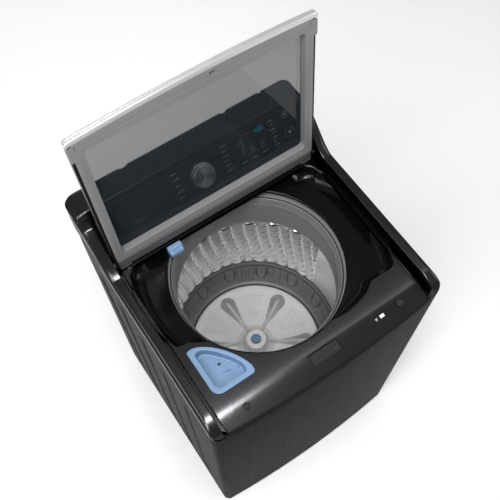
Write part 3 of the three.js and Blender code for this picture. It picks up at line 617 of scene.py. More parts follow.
def round_axis(radius, angle, z):
    """Points at a distance and an angle about the drum's axis."""
    return np.stack([radius * np.cos(angle), AXIS + radius * np.sin(angle), z], axis=-1)


for hand, x in (("left", -231), ("right", 231)):
    cup = rounded([[0, 984], [7.2, 984], [9, 984], [9, 992.4], [6.2, 994], [4.6, 991], [0, 991]],
                  [0, 0, 0, 1, 1.2, 1, 0], 4)
    make_piece(hand + "_bumper_pad", [(turned(cup, 40, x, -302.5), True)], "cabinet", rubber,
               hand + "_lid_bumper")


def block(x, y, z, round_off=1.0, steps=3):
    """A box with its upright corners and its top edge rounded, as rings of a rounded rectangle, closed."""
    rings = []
    for inset, height in [(0, z[0]), (0, z[1] - round_off)] + [
        (round_off * (1 - math.cos(a)), z[1] - round_off * (1 - math.sin(a)))
        for a in np.linspace(0, math.pi / 2, steps + 1)[1:]
    ]:
        corners = [[x[0] + inset, y[0] + inset], [x[1] - inset, y[0] + inset], [x[1] - inset, y[1] - inset],
                   [x[0] + inset, y[1] - inset]]
        ring = rounded(corners, max(0.2, round_off * 1.5 - inset), 3, closed=True)
        rings.append((ring, height))
    return at_levels(rings), True, False, True


# The latch recess's liner is painted near black, far darker than the deck: painted shade in the recess.
painted_recess_shade = Finish("recess_painted_shade")
painted_recess_shade.set(Base_Color=(0.006, 0.006, 0.0065), Roughness=0.5 + painted_recess_shade.noise(300, 2) * 0.1,
                 Specular_IOR_Level=0.3)


def latch_recess():
    """Rings of the recess's line drawn in step by step: short walls, and a floor that follows the deck's fall
    5.6 mm below it."""
    middle = np.array([0.0, -299.0])
    rows = []
    for inset, down in ((0.2, 0.6), (0.5, 1.0), (1.0, 4.2), (1.6, 5.2), (3.0, 5.6), (8.0, 5.6)):
        away = recess_hole - middle
        ring = recess_hole - np.sign(away) * np.minimum(np.abs(away), inset)
        rows.append(np.column_stack([ring, deck_height(ring[:, 0], ring[:, 1]) - down]))
    centre = np.repeat(middle[None], len(recess_hole), axis=0)
    rows.append(np.column_stack([centre, deck_height(centre[:, 0], centre[:, 1]) - 5.6]))
    return np.array(rows)


liner = make_piece("latch_recess_liner", [(latch_recess(), True)], "cabinet", painted_recess_shade,
                   wall=0.3, facing=(0, -300, 9000), crease=30)
bolt_slot = rounded([[28.4, -304.8], [43.6, -304.8], [43.6, -295.2], [28.4, -295.2]], 2, 4, closed=True)
cut_through(liner, [bolt_slot], 950, 1010)

white_sticker = Finish("blank_sticker")
white_sticker.set(Base_Color=(0.75, 0.76, 0.77), Roughness=0.5 + white_sticker.noise(200, 2) * 0.1)


def sticker(x0, x1, y0, y1):
    """A flat label a quarter of a millimetre over the deck."""
    xx, yy = np.meshgrid(np.linspace(x0, x1, 6), np.linspace(y0, y1, 6))
    return np.stack([xx, yy, deck_height(xx, yy) + 0.25], axis=-1)


stickers = [(sticker(*box),) for box in
            ((168, 181, -306.5, -299), (153, 160, -303, -301.6), (154, 159, -306.6, -305.4))]
make_piece("rating_sticker", stickers, "cabinet", white_sticker, wall=0.12,
           facing=(170, -300, 9000))


# Well round the drum's mouth: a piano black moulding. It drops from the deck, runs level round the bay and
# rolls down into the mouth.

piano_black = Finish("piano_black")
haze = piano_black.noise(14, 3)
piano_black.set(
    Base_Color=piano_black.blend(haze, (0.0015, 0.0016, 0.0019), (0.003, 0.0032, 0.0036)),
    Roughness=0.09 + haze * 0.08,
    Specular_IOR_Level=0.2,
)


def reach_of_circle(angle, radius):
    """Distance from the middle to a circle about the drum's axis, the root of the line and circle
    equation."""
    along = AXIS * np.sin(angle)
    return along + np.sqrt(radius**2 - AXIS**2 + along**2)


def well_sheet():
    """Rays from the deck's opening in to the mouth: a quarter ellipse down, a floor with a slow wave, and a
    round lip that rolls over the mouth's edge."""
    angle = np.linspace(-math.pi, math.pi, 480, endpoint=False)
    unit = np.stack([np.cos(angle), np.sin(angle)], axis=1)
    outer = reach_of_opening(angle) - 0.4
    rows = []
    for z in (987.5, 984):
        rows.append(np.column_stack([outer[:, None] * unit, np.full(len(angle), z)]))
    inner = reach_of_circle(angle, 238.0)
    width = np.maximum(outer - inner, 1.0)
    for t in np.linspace(0, 1, 26)[1:]:
        reach = outer - width * t
        bowl = np.clip(1 - width * t / np.minimum(30.0, width), 0, 1)
        wave = 2.2 * np.sin(2 * angle + 0.6) * np.clip(width * t / 40, 0,
                                                       1) * np.clip((width * (1 - t)) / 30, 0, 1)
        z = 952.5 + 31.5 * (1 - np.sqrt(1 - np.clip(bowl, 0, 1) ** 2)) + wave
        rows.append(np.column_stack([reach[:, None] * unit, z]))
    for radius, z in ((236.6, 952.0), (235.2, 950.8), (234.3, 949.0), (234.0, 946.5), (235.0, 945.9)):
        rows.append(np.column_stack([reach_of_circle(angle, radius)[:, None] * unit, np.full(len(angle), z)]))
    return np.array(rows)


make_piece("gloss_well", [(well_sheet(), True)], "cabinet", piano_black, "mouth_surround",
           wall=1.6,
           facing=(0, 0, 9000), crease=50)


# Detergent tray: a blue moulded fan that lifts out of the deck, with a flat rim, a sunk bowl, a drain hole
# and three low ribs on its floor.

sky_blue = Finish("blue_plastic")
soft = sky_blue.noise(30, 3)
sky_blue.set(
    Base_Color=sky_blue.blend(soft, (0.125, 0.215, 0.355), (0.15, 0.245, 0.39)),
    Roughness=0.36 + soft * 0.1,
)


def tray_rings():
    """Rings of the fan: outside wall, rim, bowl wall and floor edge, drawn in by insets, then the floor
    shrinking to the fan's middle."""
    steps = [(9.0, 972.0), (1.6, 986.0), (0.6, 988.0), (0.0, 989.5), (0.0, 991.0), (0.5, 991.6), (1.6, 991.9),
             (12.6, 991.6), (13.6, 991.2), (14.4, 990.0), (15.4, 975.0), (16.4, 968.0), (17.6, 965.6),
             (20.0, 964.8),
             (22.5, 964.8), (23.0, 965.1), (23.6, 965.1), (24.2, 964.6)]
    rows = [(fan_line(inset), z) for inset, z in steps]
    floor_line = rows[-1][0]
    rows += [(fan_middle + (floor_line - fan_middle) * share, 964.3) for share in (0.6, 0.2, 0.0)]
    return at_levels(rows)


tray_parts = [(tray_rings(), True)]
for i in range(3):
    tray_parts.append(block((-246 + 3 * i, -206 + 2 * i), (-219 + 6 * i, -217.8 + 6 * i), (963.9, 965.3),
                            0.3, 2))
make_piece("tray_moulding", tray_parts, "tray", sky_blue, "detergent_tray", crease=40)
# The tray's drain and the drum's drain holes are near black blocks and discs: painted shade where the holes
# are.
painted_hole_shade = Finish("painted_hole_shade")
painted_hole_shade.set(Base_Color=(0.004, 0.005, 0.008), Roughness=0.6 + painted_hole_shade.noise(80, 2) * 0.1)
make_piece("tray_drain", [block((-229.5, -222.5), (-177, -170.5), (962.0, 965.4), 0.4, 2)], "tray", painted_hole_shade)


# Spray nozzle: a blue moulded spout over the mouth's rear left, with a sunk top and a lip.

def nozzle():
    """Slices across the spout: a rounded box that narrows and drops towards the drum."""
    slices = []
    for y, half, top, low in ((161.0, 20.0, 985.5, 962.5), (157, 20.6, 985.8, 962.3),
                              (150, 20.8, 985.4, 962.2),
                              (147.5, 20.4, 984.2, 962.2), (146, 19.6, 979.8, 962.3),
                              (140, 19.0, 977.0, 962.4),
                              (137.5, 18.4, 975.0, 962.8), (136.3, 17.6, 972.0, 964.0)):
        ring = rounded([[-151 - half, low], [-151 + half, low], [-151 + half, top], [-151 - half, top]], 2.6,
                       4, True)
        slices.append(np.column_stack([ring[:, 0], np.full(len(ring), y), ring[:, 1]]))
    return np.array(slices), True, False, True


make_piece("nozzle_moulding", [nozzle(), block((-160, -142), (140, 145), (974.5, 979.6), 1.2)], "cabinet",
           sky_blue,
           "spray_nozzle", crease=40)


# Console: a satin black moulding across the rear. Its top is flat, its front slopes, its ends are drawn in
# to a soft round, and a wing runs down from each end into the rail.

console_side = rounded(
    [[203.3, 990.6], [349.3, 990.6], [349.3, 1138], [280, 1138], [268, 1120.5], [272, 1117.8], [209, 1024.5],
     [203.3, 1021]],
    [2, 4, 9, 13, 2.5, 2.0, 5, 4], 7, closed=True)


def console_body():
    """The side profile carried from end to end. Over the last 34 mm it shrinks about a point low in the
    console by 18 percent, as a quarter circle does."""
    swing = np.radians(np.linspace(0, 90, 14))
    ends = np.sin(swing)
    inner = 309.0
    x = np.concatenate([-inner - 33 * ends[::-1], np.linspace(-inner, inner, 41)[1:-1], inner + 33 * ends])
    t = np.clip((np.abs(x) - inner) / 33.1, 0, 1)
    shrink = 1 - 0.18 * (1 - np.sqrt(1 - t**2))
    middle = np.array([285.0, 1000.0])
    rows = []
    for place, k in zip(x, shrink):
        ring = middle + (console_side - middle) * [k, k]
        ring[:, 1] = np.maximum(ring[:, 1], 990.5)
        rows.append(np.column_stack([np.full(len(ring), place), ring]))
    return np.array(rows)


def denser(grid, places, reach, count):
    """Adds slices to a carried grid near the given places by straight interpolation between its own
    slices."""
    x = grid[:, 0, 0]
    more = np.concatenate([np.linspace(p - reach, p + reach, count) for p in places])
    wanted = np.unique(np.concatenate([x, more]))
    flat = grid.reshape(len(x), -1)
    return np.stack([np.interp(wanted, x, flat[:, i]) for i in range(flat.shape[1])], axis=1).reshape(
        len(wanted), *grid.shape[1:])


def notched_console():
    """The console with three shallow thumb notches moulded in the rear edge of its top."""
    grid = denser(console_body(), (-170, 133, 248), 16, 24)
    x, y, z = grid[..., 0], grid[..., 1], grid[..., 2]
    for centre, half in ((-170, 11), (133, 9), (248, 6)):
        amount = np.clip((half - np.abs(x - centre)) / 3.0, 0, 1)
        grid[..., 2] = z - amount * np.clip((y - 341) / 4, 0, 1) * np.clip((z - 1110) / 10, 0, 1) * 9
    return grid


make_piece("console_moulding", [(notched_console(), True, False, True)], "cabinet", satin_black,
           "console_housing",
           crease=32)


def wing(side):
    """A fin 29 mm thick on the rail: its top falls from the console to the rail as half a cosine wave, and
    its top edges are rounded, more on the outside."""
    swing = np.radians(np.linspace(0, 90, 8))
    y = np.concatenate([np.linspace(300, 284, 3), np.linspace(282, 117, 46), [112]])
    t = np.clip((282 - y) / 165, 0, 1)
    top = 1024.5 + 106 * (0.5 + 0.5 * np.cos(math.pi * t))
    top = np.minimum(top, 1118)
    rows = []
    for place, crest in zip(y, top):
        drop = np.concatenate([3 * (1 - np.sin(swing)), 13 * (1 - np.cos(swing))])
        x = np.concatenate([316.8 - 2.6 * np.cos(swing), 329.8 + 13 * np.sin(swing)])
        line = np.column_stack([side * x, np.full(len(x), place), crest - drop])
        foot = [[side * 342.8, place, min(1012.0, crest - 14)], [side * 314.2, place, min(1012.0, crest - 4)]]
        rows.append(np.vstack([line, foot]))
    return np.array(rows), True, False, True


for hand, side in SIDES:
    make_piece(hand + "_wing", [wing(side)], "cabinet", satin_black, "console_housing",
               crease=40)


# Control panel: a gloss black sheet on the slope, its edge softly rounded, with the selector, the keys,
# printed marks and small lamps. All its places are in its own plane: across, up the slope and out of it.

slope_angle = math.atan2(104, 70)
slope_up = np.array([0, math.cos(slope_angle), math.sin(slope_angle)])
slope_out = np.array([0, -math.sin(slope_angle), math.cos(slope_angle)])


def on_slope(points):
    """Points in the panel's plane carried to the console: across, up the slope, out of it."""
    points = np.asarray(points, float)
    middle = np.array([0, 242.5, 1079.0])
    return middle + points[..., :1] * [1, 0, 0] + points[..., 1:2] * slope_up + points[..., 2:] * slope_out


def inset_rings(outline, rings):
    """Copies of a closed outline on the slope, one for each (inset, height), moved in along its own
    normals."""
    outline = np.asarray(outline, float)
    run = np.roll(outline, -1, axis=0) - np.roll(outline, 1, axis=0)
    normal = np.stack([run[:, 1], -run[:, 0]], axis=1) / np.maximum(np.linalg.norm(run, axis=1,
                                                                                   keepdims=True), 1e-9)
    return on_slope(at_levels([(outline - normal * inset, z) for inset, z in rings]))


def slab(outline, low, high, round_off, steps=4):
    """A closed plate of any round-cornered outline with a rounded top edge, on the slope."""
    rings = [(0, low)] + [(round_off * (1 - math.cos(a)), high - round_off * (1 - math.sin(a)))
                          for a in np.linspace(0, math.pi / 2, steps + 1)]
    return inset_rings(outline, rings), True, False, True


def rectangle(x, y, half_x, half_y, radius, steps=6):
    """A round-cornered rectangle about a middle point, closed."""
    return rounded([[x - half_x, y - half_y], [x + half_x, y - half_y], [x + half_x, y + half_y],
                    [x - half_x, y + half_y]], radius, steps, closed=True)


panel_gloss = Finish("panel_gloss")
depth_tint = panel_gloss.noise(5, 2)
panel_gloss.set(
    Base_Color=panel_gloss.blend(depth_tint, (0.0045, 0.0062, 0.0078), (0.0075, 0.0095, 0.0115)),
    Roughness=0.16 + depth_tint * 0.1,
    Specular_IOR_Level=0.4,
)
panel_outline = rectangle(0, 0, 303.5, 57.0, 34, 12)
make_piece("panel_sheet", [slab(panel_outline, 0.4, 3.3, 1.6, 5)], "cabinet", panel_gloss, "console_fascia",
           crease=50)

# The panel's rim band is painted lighter than the gloss panel: a painted highlight along its rounded edge.
# The selector's ring takes the same paint.
painted_edge_highlight = Finish("panel_edge_painted_highlight")
painted_edge_highlight.set(Base_Color=(0.05, 0.052, 0.056), Roughness=0.3 + painted_edge_highlight.noise(40, 2) * 0.08)


def rim_band(outline, inside, outside, low, high):
    """A closed ring between two insets of an outline, standing between two heights over the slope."""
    return inset_rings(outline, [(outside, low), (outside, high), (inside, high), (inside, low)]), True, True


# A thin band painted lighter along the panel's edge: painted highlight.
make_piece("panel_rim_painted_highlight", [rim_band(panel_outline, 2.2, 0.9, 2.6, 3.55)], "cabinet", painted_edge_highlight,
           crease=50)

spun_metal_painted_sheen = Finish("spun_metal_painted_sheen")
knob_centre = (on_slope([0, 3, 20]) * 0.001).tolist()
spun_x = spun_metal_painted_sheen.node("ShaderNodeSeparateXYZ", {},
                         spun_metal_painted_sheen.place(turn=(-slope_angle, 0, 0), centre=knob_centre))
spun_y = Value(spun_metal_painted_sheen, spun_x.socket.node.outputs[1])
spun_angle = spun_metal_painted_sheen.node("ShaderNodeMath", {"operation": "ARCTAN2"}, spun_y, spun_x)
# Light and dark sectors about the dial's middle are a painted reflection of the spun face's highlights, set
# into its base colour and roughness; the fine grooves below are real relief.
painted_sheen_sweep = (spun_angle * 2.0 - 0.9).math("SINE") * 0.5 + 0.5
painted_sheen_fine = (spun_angle * 5.0 + 0.7).math("SINE") * 0.18
radius_out = (spun_x * spun_x + spun_y * spun_y).math("SQRT")
grooves = (radius_out * 9000.0).math("SINE")
spun_metal_painted_sheen.set(
    Base_Color=spun_metal_painted_sheen.blend((painted_sheen_sweep + painted_sheen_fine).math("MAXIMUM", 0.0), (0.3, 0.303, 0.31),
                                (0.95, 0.95, 0.955)),
    Metallic=0.55,
    Roughness=0.34 + painted_sheen_sweep * 0.06,
)
spun_metal_painted_sheen.bump(grooves, 0.12, 0.0002)


def disc_on_slope(profile, x, y, steps=72):
    """A profile of [radius, height] pairs turned about an axis square to the panel."""
    return on_slope(turned(profile, steps, x, y)), True


knob = rounded([[0, 1.0], [7.5, 1.0], [7.5, 3.7], [33.4, 3.7], [33.4, 5.2], [31.6, 6.2], [31.6, 18.5],
                [29.6, 21.4],
                [27.4, 20.9], [0, 20.4]], [0, 0, 0, 0.4, 0.5, 0.5, 1.2, 1.2, 0.8, 0], 4)
make_piece("selector_knob", [disc_on_slope(knob, 0, 3, 96)], "dial", spun_metal_painted_sheen, "selector_dial",
           crease=35)
ring_swing = whole_turn(96)
dial_ring = np.stack([38.5 * np.cos(ring_swing), 3 + 38.5 * np.sin(ring_swing)], axis=1)
make_piece("selector_ring", [rim_band(dial_ring, 0.9, 0.0, 3.2, 3.6)], "cabinet", painted_edge_highlight,
           crease=50)

key_gloss = Finish("key_gloss")
key_gloss.set(Base_Color=(0.008, 0.009, 0.0105), Roughness=0.22 + key_gloss.noise(60, 2) * 0.06)
KEYS = [("option_key_1", 225, 43, 11, 4), ("option_key_2", 225, 18, 11, 4), ("option_key_3", 225, -5, 11, 4),
        ("option_key_4", 225, -27, 11, 4), ("temperature_key", 120, -27, 11, 4),
        ("spin_speed_key", 152.5, -27, 11, 4),
        ("soil_level_key", 185, -27, 11, 4), ("power_key", 270, 40, 11, 11), ("start_key", 270, -13, 16, 16)]
lamp_white = Finish("printed_grey")
lamp_white.set(Base_Color=(0.62, 0.63, 0.65), Roughness=0.5 + lamp_white.noise(80, 2) * 0.1)
for name, x, y, half_x, half_y in KEYS:
    radius = min(half_x, half_y) * 0.5
    lift = 0.7 if name == "power_key" else 0.0
    make_piece(name + "_cap", [slab(rectangle(x, y, half_x, half_y, radius), 3.2, 4.5 + lift, 0.7)], name,
               key_gloss, name, crease=50)
    if half_x == half_y:
        ring = rim_band(rectangle(x, y, half_x - 2, half_y - 2, radius), 0.7, 0.0, 4.45 + lift, 4.6 + lift)
        sign = slab(rectangle(x, y, half_x * 0.28, half_y * 0.28, half_x * 0.26), 4.4 + lift, 4.6 + lift,
                    0.1, 1)
        make_piece(name + "_outline", [ring, sign], name, lamp_white, crease=50)
    else:
        make_piece(name + "_mark", [slab(rectangle(x, y, half_x - 3.5, 1.3, 0.6, 2), 4.45, 4.6, 0.1, 1)],
                   name,
                   lamp_white, crease=50)


def dashes(rows, low=3.25, high=3.42):
    """Small printed dashes: each row is across, up, and the widths of its dashes, 1.2 mm apart."""
    marks = []
    for x, y, widths, tall in rows:
        place = x - (sum(widths) + 1.2 * (len(widths) - 1)) / 2
        for width in widths:
            marks.append(slab(rectangle(place + width / 2, y, width / 2, tall / 2, 0.35, 1), low, high, 0.08,
                              1))
            place += width + 1.2
    return marks


programme_marks = [(-73 + 2 * (i % 2), y, w, 2.2) for i, (y, w) in enumerate(
    [(44, (5, 6, 4)), (27, (4, 7, 5)), (9, (8, 6)), (-9, (5, 5, 5, 3)), (-26, (7, 5))])]
programme_marks += [(76 - 2 * (i % 2), y, w, 2.2) for i, (y, w) in enumerate(
    [(45, (6, 5, 4)), (31, (8, 5)), (16, (5, 4, 6)), (4, (6, 6)), (-11, (5, 7, 3)), (-26, (8, 6))])]
for x, top, count in ((128, 34, 6), (153, 4, 3), (185, 2, 3)):
    programme_marks += [(x, top - 7.4 * i, (3, 5, 3), 1.7) for i in range(count)]
programme_marks += [(-199, -21, (14, 3, 9, 3, 6), 0.9), (-199, -26, (22, 8), 0.6), (225, 32, (6, 5), 1.5),
                    (225, 8, (5, 6), 1.5), (225, -15, (7, 4), 1.5), (225, -38, (5, 5), 1.5),
                    (152, 44, (6, 4), 1.5)]
make_piece("panel_marks", dashes(programme_marks), "cabinet", lamp_white, crease=50)

lit_teal = Finish("lit_teal")
lit_teal.set(Base_Color=(0.02, 0.12, 0.15), Emission_Color=(0.05, 0.5, 0.65), Emission_Strength=1.2,
             Roughness=0.4 + lit_teal.noise(80, 2) * 0.05)
seven = [(0, 5.4, 2.2, 0.55), (0, 0, 2.2, 0.55), (0, -5.4, 2.2, 0.55), (-2.7, 2.7, 0.5, 2.2),
         (2.7, 2.7, 0.5, 2.2),
         (-2.7, -2.7, 0.5, 2.2), (2.7, -2.7, 0.5, 2.2)]
digits = [(177, (3, 4, 1, 5, 6)), (187, (0, 1, 2, 4, 5)), (196, (0, 2, 3, 4, 5, 6))]
lit = [slab(rectangle(x + seven[i][0], 39 + seven[i][1], seven[i][2], seven[i][3], 0.3, 1), 3.25, 3.45, 0.08,
            1)
       for x, parts in digits for i in parts]
lit.append(slab(rectangle(-15, 37, 1.3, 1.3, 1.2, 3), 3.25, 3.5, 0.1, 1))
make_piece("lit_digits", lit, "cabinet", lit_teal, crease=50)


# Lid: a dark painted outer shell, a grey moulded inner frame, a tinted glass and a bright strip along its
# front edge that is also its handle. It is drawn closed, in its own measures, and turned up about the hinge
# line.

LID_OPEN = math.radians(-95.7)
HINGE_Y, HINGE_Z = 179.6, 1007.3


def on_lid(points):
    """Lid measures carried to the open lid: across, distance from the glass's rear edge, height over the
    inner face. The hinge line lies 50 behind and 12 above."""
    points = np.asarray(points, float)
    y, z = -(points[..., 1] + 50), points[..., 2] - 12
    return np.stack([points[..., 0], HINGE_Y + y * math.cos(LID_OPEN) - z * math.sin(LID_OPEN),
                     HINGE_Z + y * math.sin(LID_OPEN) + z * math.cos(LID_OPEN)], axis=-1)


def lid_line(half, rear, front, radius, bow, rear_radius=None, edge_steps=16, arc_steps=8):
    """A round-cornered rectangle with the same count of points whatever its size, whose front side bows out
    as a parabola."""
    rear_radius = radius if rear_radius is None else rear_radius
    line = []
    for cx, cy, r, start in ((half, front, radius, 0), (-half, front, radius, 90),
                             (-half, rear, rear_radius, 180),
                             (half, rear, rear_radius, 270)):
        swing = np.radians(start + np.linspace(0, 90, arc_steps + 1))
        centre = [cx - math.copysign(r, cx), cy - (r if cy == front else -r)]
        line.append(np.stack([centre[0] + r * np.cos(swing), centre[1] + r * np.sin(swing)], axis=1))
    full = []
    for i, arc_points in enumerate(line):
        following = line[(i + 1) % 4][0]
        t = np.linspace(0, 1, edge_steps + 1)[1:-1, None]
        full += [arc_points, arc_points[-1] * (1 - t) + following * t]
    full = np.vstack(full)
    ahead = np.clip((full[:, 1] - (rear + front) / 2) / ((front - rear) / 2), 0, 1) ** 4
    full[:, 1] += bow * (1 - (full[:, 0] / half) ** 2) * ahead
    return full


def lid_rings(steps):
    """Rings of lid lines at heights, carried to the open lid."""
    return on_lid(at_levels(steps))


lid_grey = Finish("lid_grey")
lid_grain = lid_grey.noise(700, 2, 0.6)
lid_tone = lid_grey.noise(7, 3)
lid_grey.set(
    Base_Color=lid_grey.blend(lid_tone, (0.165, 0.167, 0.171), (0.205, 0.207, 0.211)),
    Roughness=0.42 + lid_grain * 0.12,
    Specular_IOR_Level=0.3,
)
lid_grey.bump(lid_grain, 0.08, 0.0002)

lid_steps = [
    (lid_line(278.2, 0.2, 396.8, 11, 0), 20.0),
    (lid_line(278.2, 0.2, 396.8, 11, 0), 3.0),
    (lid_line(278.8, -0.5, 397.4, 11.5, 0), 1.2),
    (lid_line(280.4, -2.2, 399.2, 12.5, 0), 0.5),
    (lid_line(283.4, -6.0, 402.0, 14, 1.5), 0.5),
    (lid_line(284.0, -6.8, 402.8, 14, 2), 1.1),
    (lid_line(284.9, -7.8, 403.8, 14, 2), 1.1),
    (lid_line(285.6, -8.6, 404.6, 14.5, 2), 0.4),
    (lid_line(289.0, -13.0, 410.5, 15, 4), 0.2),
    (lid_line(289.6, -13.8, 411.3, 15, 5), 0.9),
    (lid_line(290.4, -14.6, 412.1, 15, 5), 0.9),
    (lid_line(291.0, -15.4, 413.0, 15, 5), 0.2),
    (lid_line(298.0, -28.0, 424.5, 13, 11, 8), 0.1),
    (lid_line(300.6, -31.0, 427.0, 12, 12, 5), 0.6),
    (lid_line(301.4, -32.0, 427.8, 12, 12, 4), 2.0),
    (lid_line(301.4, -32.0, 427.8, 12, 12, 4), 6.0),
]
make_piece("lid_frame_moulding", [(lid_rings(lid_steps), True)], "lid", lid_grey, "lid_inner_frame",
           wall=1.6, facing=(0, -9000, 1200), crease=40)

rear_grey = Finish("lid_rear_grey")
rear_grain = rear_grey.noise(500, 2, 0.6)
rear_grey.set(
    Base_Color=rear_grey.blend(rear_grain, (0.06, 0.061, 0.064), (0.085, 0.0865, 0.09)),
    Roughness=0.42 + rear_grain * 0.1,
)


def rear_strip():
    """The stepped strip behind the glass: a sunk flat band, a rounded ridge and a rolled rear edge."""
    x = np.array([-300.5, -300, -297, -285, -240, 0, 240, 285, 297, 300, 300.5])
    steps = [(-31.5, 3.2), (-32.4, 1.4), (-34, 1.1), (-44, 1.3), (-45, 0.7), (-47, 0.5), (-49, 0.7),
             (-50, 1.6),
             (-58, 1.8), (-60, 2.2), (-61.4, 3.6), (-61.8, 6.0)]
    end = np.array([3.4, 1.6, 0.4, 0, 0, 0, 0, 0, 0.4, 1.6, 3.4])
    return on_lid(np.array([[[a, s, h + e] for a, e in zip(x, end)] for s, h in steps]))


make_piece("lid_rear_strip", [(rear_strip(),)], "lid", rear_grey, wall=1.0,
           facing=(0, -9000, 1200))


def lid_block(x, s, h, round_off=0.6):
    """A rounded block given in lid measures, closed."""
    grid, *ways = block(x, s, h, round_off, 3)
    return on_lid(grid), *ways


caps = [lid_block(sorted((side * 279, side * 309.6)), (378, 421), (0.05, 3.6)) for side in (-1, 1)]
make_piece("lid_corner_caps", caps, "lid", lid_grey, crease=40)

seam_dark = Finish("seam_dark")
seam_dark.set(Base_Color=(0.02, 0.02, 0.021), Roughness=0.6 + seam_dark.noise(50, 2) * 0.1)
seams = [lid_block((x - 0.5, x + 0.5), (s0, s1), (-0.2, 0.6), 0.1)
         for x, s0, s1 in ((-293, 408, 424), (290, 408, 424), (30, 421, 432))]
seams += [lid_block((28.0, 42.0), (427.5, 430.2), (-0.2, 0.6), 0.1)]
make_piece("lid_frame_seams", seams, "lid", seam_dark)

lid_paint = Finish("lid_paint")
lid_haze = lid_paint.noise(9, 2)
lid_paint.set(
    Base_Color=lid_paint.blend(lid_haze, (0.009, 0.0085, 0.0115), (0.013, 0.0125, 0.016)),
    Roughness=0.2 + lid_haze * 0.1,
    Specular_IOR_Level=0.12,
)
shell_steps = [
    (lid_line(302.0, -32.8, 428.4, 12, 12, 4), 4.4),
    (lid_line(307.6, -60.6, 430.4, 14, 12, 8), 4.2),
    (lid_line(308.6, -61.6, 431.2, 14, 12, 8), 5.0),
    (lid_line(308.8, -61.8, 431.4, 14, 12, 8), 13.0),
    (lid_line(308.8, -61.8, 430.4, 14, 12, 8), 15.4),
    (lid_line(308.8, -61.8, 427.6, 14, 12, 8), 16.4),
    (lid_line(308.0, -61.0, 411.4, 13, 12, 8), 25.4),
    (lid_line(305.6, -58.6, 408.8, 12, 11, 8), 27.0),
    (lid_line(302.6, -55.6, 406.6, 12, 10, 8), 27.9),
    (lid_line(283.4, -5.4, 402.4, 16, 0), 28.0),
    (lid_line(282.4, -4.4, 401.4, 15, 0), 27.4),
    (lid_line(282.0, -4.0, 401.0, 15, 0), 24.7),
]
make_piece("lid_shell_moulding", [(lid_rings(shell_steps), True)], "lid", lid_paint, "lid_shell",
           wall=1.5, facing=(0, 9000, 1300), crease=40)

tinted_glass = Finish("tinted_glass")
smear = tinted_glass.noise(5, 3)
tinted_glass.set(
    Base_Color=(0.022, 0.028, 0.033),
    Roughness=0.04 + smear * 0.02,
    Alpha=0.49 + smear * 0.04,
    Specular_IOR_Level=0.25,
)
glass_steps = [
    (lid_line(285.6, -7.6, 404.6, 14, 0), 20.9),
    (lid_line(286.2, -8.2, 405.2, 14.6, 0), 21.4),
    (lid_line(286.2, -8.2, 405.2, 14.6, 0), 23.8),
    (lid_line(285.6, -7.6, 404.6, 14, 0), 24.4),
]
make_piece("lid_glass_sheet", [(lid_rings(glass_steps), True, False, True)], "lid", tinted_glass, "lid_glass",
           crease=40)

bright_trim = Finish("bright_trim")
trim_brush = bright_trim.noise(90, 2, 0.6, (0.05, 1, 1))
bright_trim.set(Base_Color=(0.66, 0.66, 0.67), Metallic=0.75, Roughness=0.3 + trim_brush * 0.03)


def trim_strip():
    """The bright strip: its section, a rounded lip with a fine groove, carried along the lid's bowed
    front."""
    x = np.concatenate([[-309.6, -308, -304], np.linspace(-298, 298, 61), [304, 308, 309.6]])
    edge = 440.0 + 12.2 * (1 - (x / 309.6) ** 2) - np.clip((np.abs(x) - 303) / 6.6, 0, 1) ** 2 * 5
    section = rounded([[-12, -0.6], [-2.2, -0.6], [0.6, 2.0], [0.6, 6.2], [-1.0, 6.9], [-1.0, 7.9],
                       [0.6, 8.6],
                       [0.6, 13.4], [-2.4, 16.4], [-11, 16.4], [-11, 14.6], [-5, 14], [-5, 3], [-12, 2.0]],
                      [0.5, 2, 1.4, 0.6, 0.3, 0.3, 0.6, 1.6, 2, 0.5, 0.4, 0.5, 0.5, 0.5], 4, closed=True)
    return on_lid(np.array([[[a, e + s, h] for s, h in section] for a, e in zip(x, edge)])), True, False, True


make_piece("lid_trim_strip", [trim_strip()], "lid", bright_trim, "lid_front_trim", crease=40)

for hand, side in SIDES:
    tab = [lid_block(sorted((side * 268, side * 299.6)), (-66.5, -59.4), (1.2, 6.4), 1.0),
           lid_block(sorted((side * 262.5, side * 301.8)), (-55.6, -33.2), (4.8, 20.6), 1.0)]
    pin_swing = whole_turn(24)
    pin = np.array([[[side * a, HINGE_Y + r * math.cos(t), HINGE_Z + r * math.sin(t)] for t in pin_swing]
                    for a, r in ((299, 6), (322.6, 6), (324, 4.8))])
    make_piece(hand + "_hinge_block", tab + [(pin, True, False, True)], "lid", rear_grey, hand + "_lid_hinge",
               crease=40)


# Drum wall: thin stainless sheet, pressed with leaning columns of scales between smooth S-shaped seams, and
# pierced with small drain holes. It is rolled round and welded along one smooth strip.

drum_steel = Finish("drum_steel")
polish = drum_steel.noise(26, 2, 0.5)
# The tone blends the steel to near black: painted shade in the gaps under the scales and at the wall's plain
# ends.
painted_gap_shade = drum_steel.tone()
drum_steel.set(
    Base_Color=drum_steel.blend(painted_gap_shade, drum_steel.blend(polish, (0.8, 0.803, 0.81), (0.9, 0.903, 0.91)),
                                (0.03, 0.031, 0.034)),
    Metallic=0.7,
    Roughness=0.2 + polish * 0.06,
)

COLUMNS = 44
ROWS = 8
SCALE_LOW, SCALE_HIGH = 450.0, 722.0
smooth_strip = math.radians(-6)
STRIP_HALF = 0.27
DRUM_RADIUS = 263.0


def column_lean(t):
    """How many columns a seam has moved sideways at a height from 0 to 1: a soft S that is steepest
    midway."""
    return -0.9 * smooth(t)


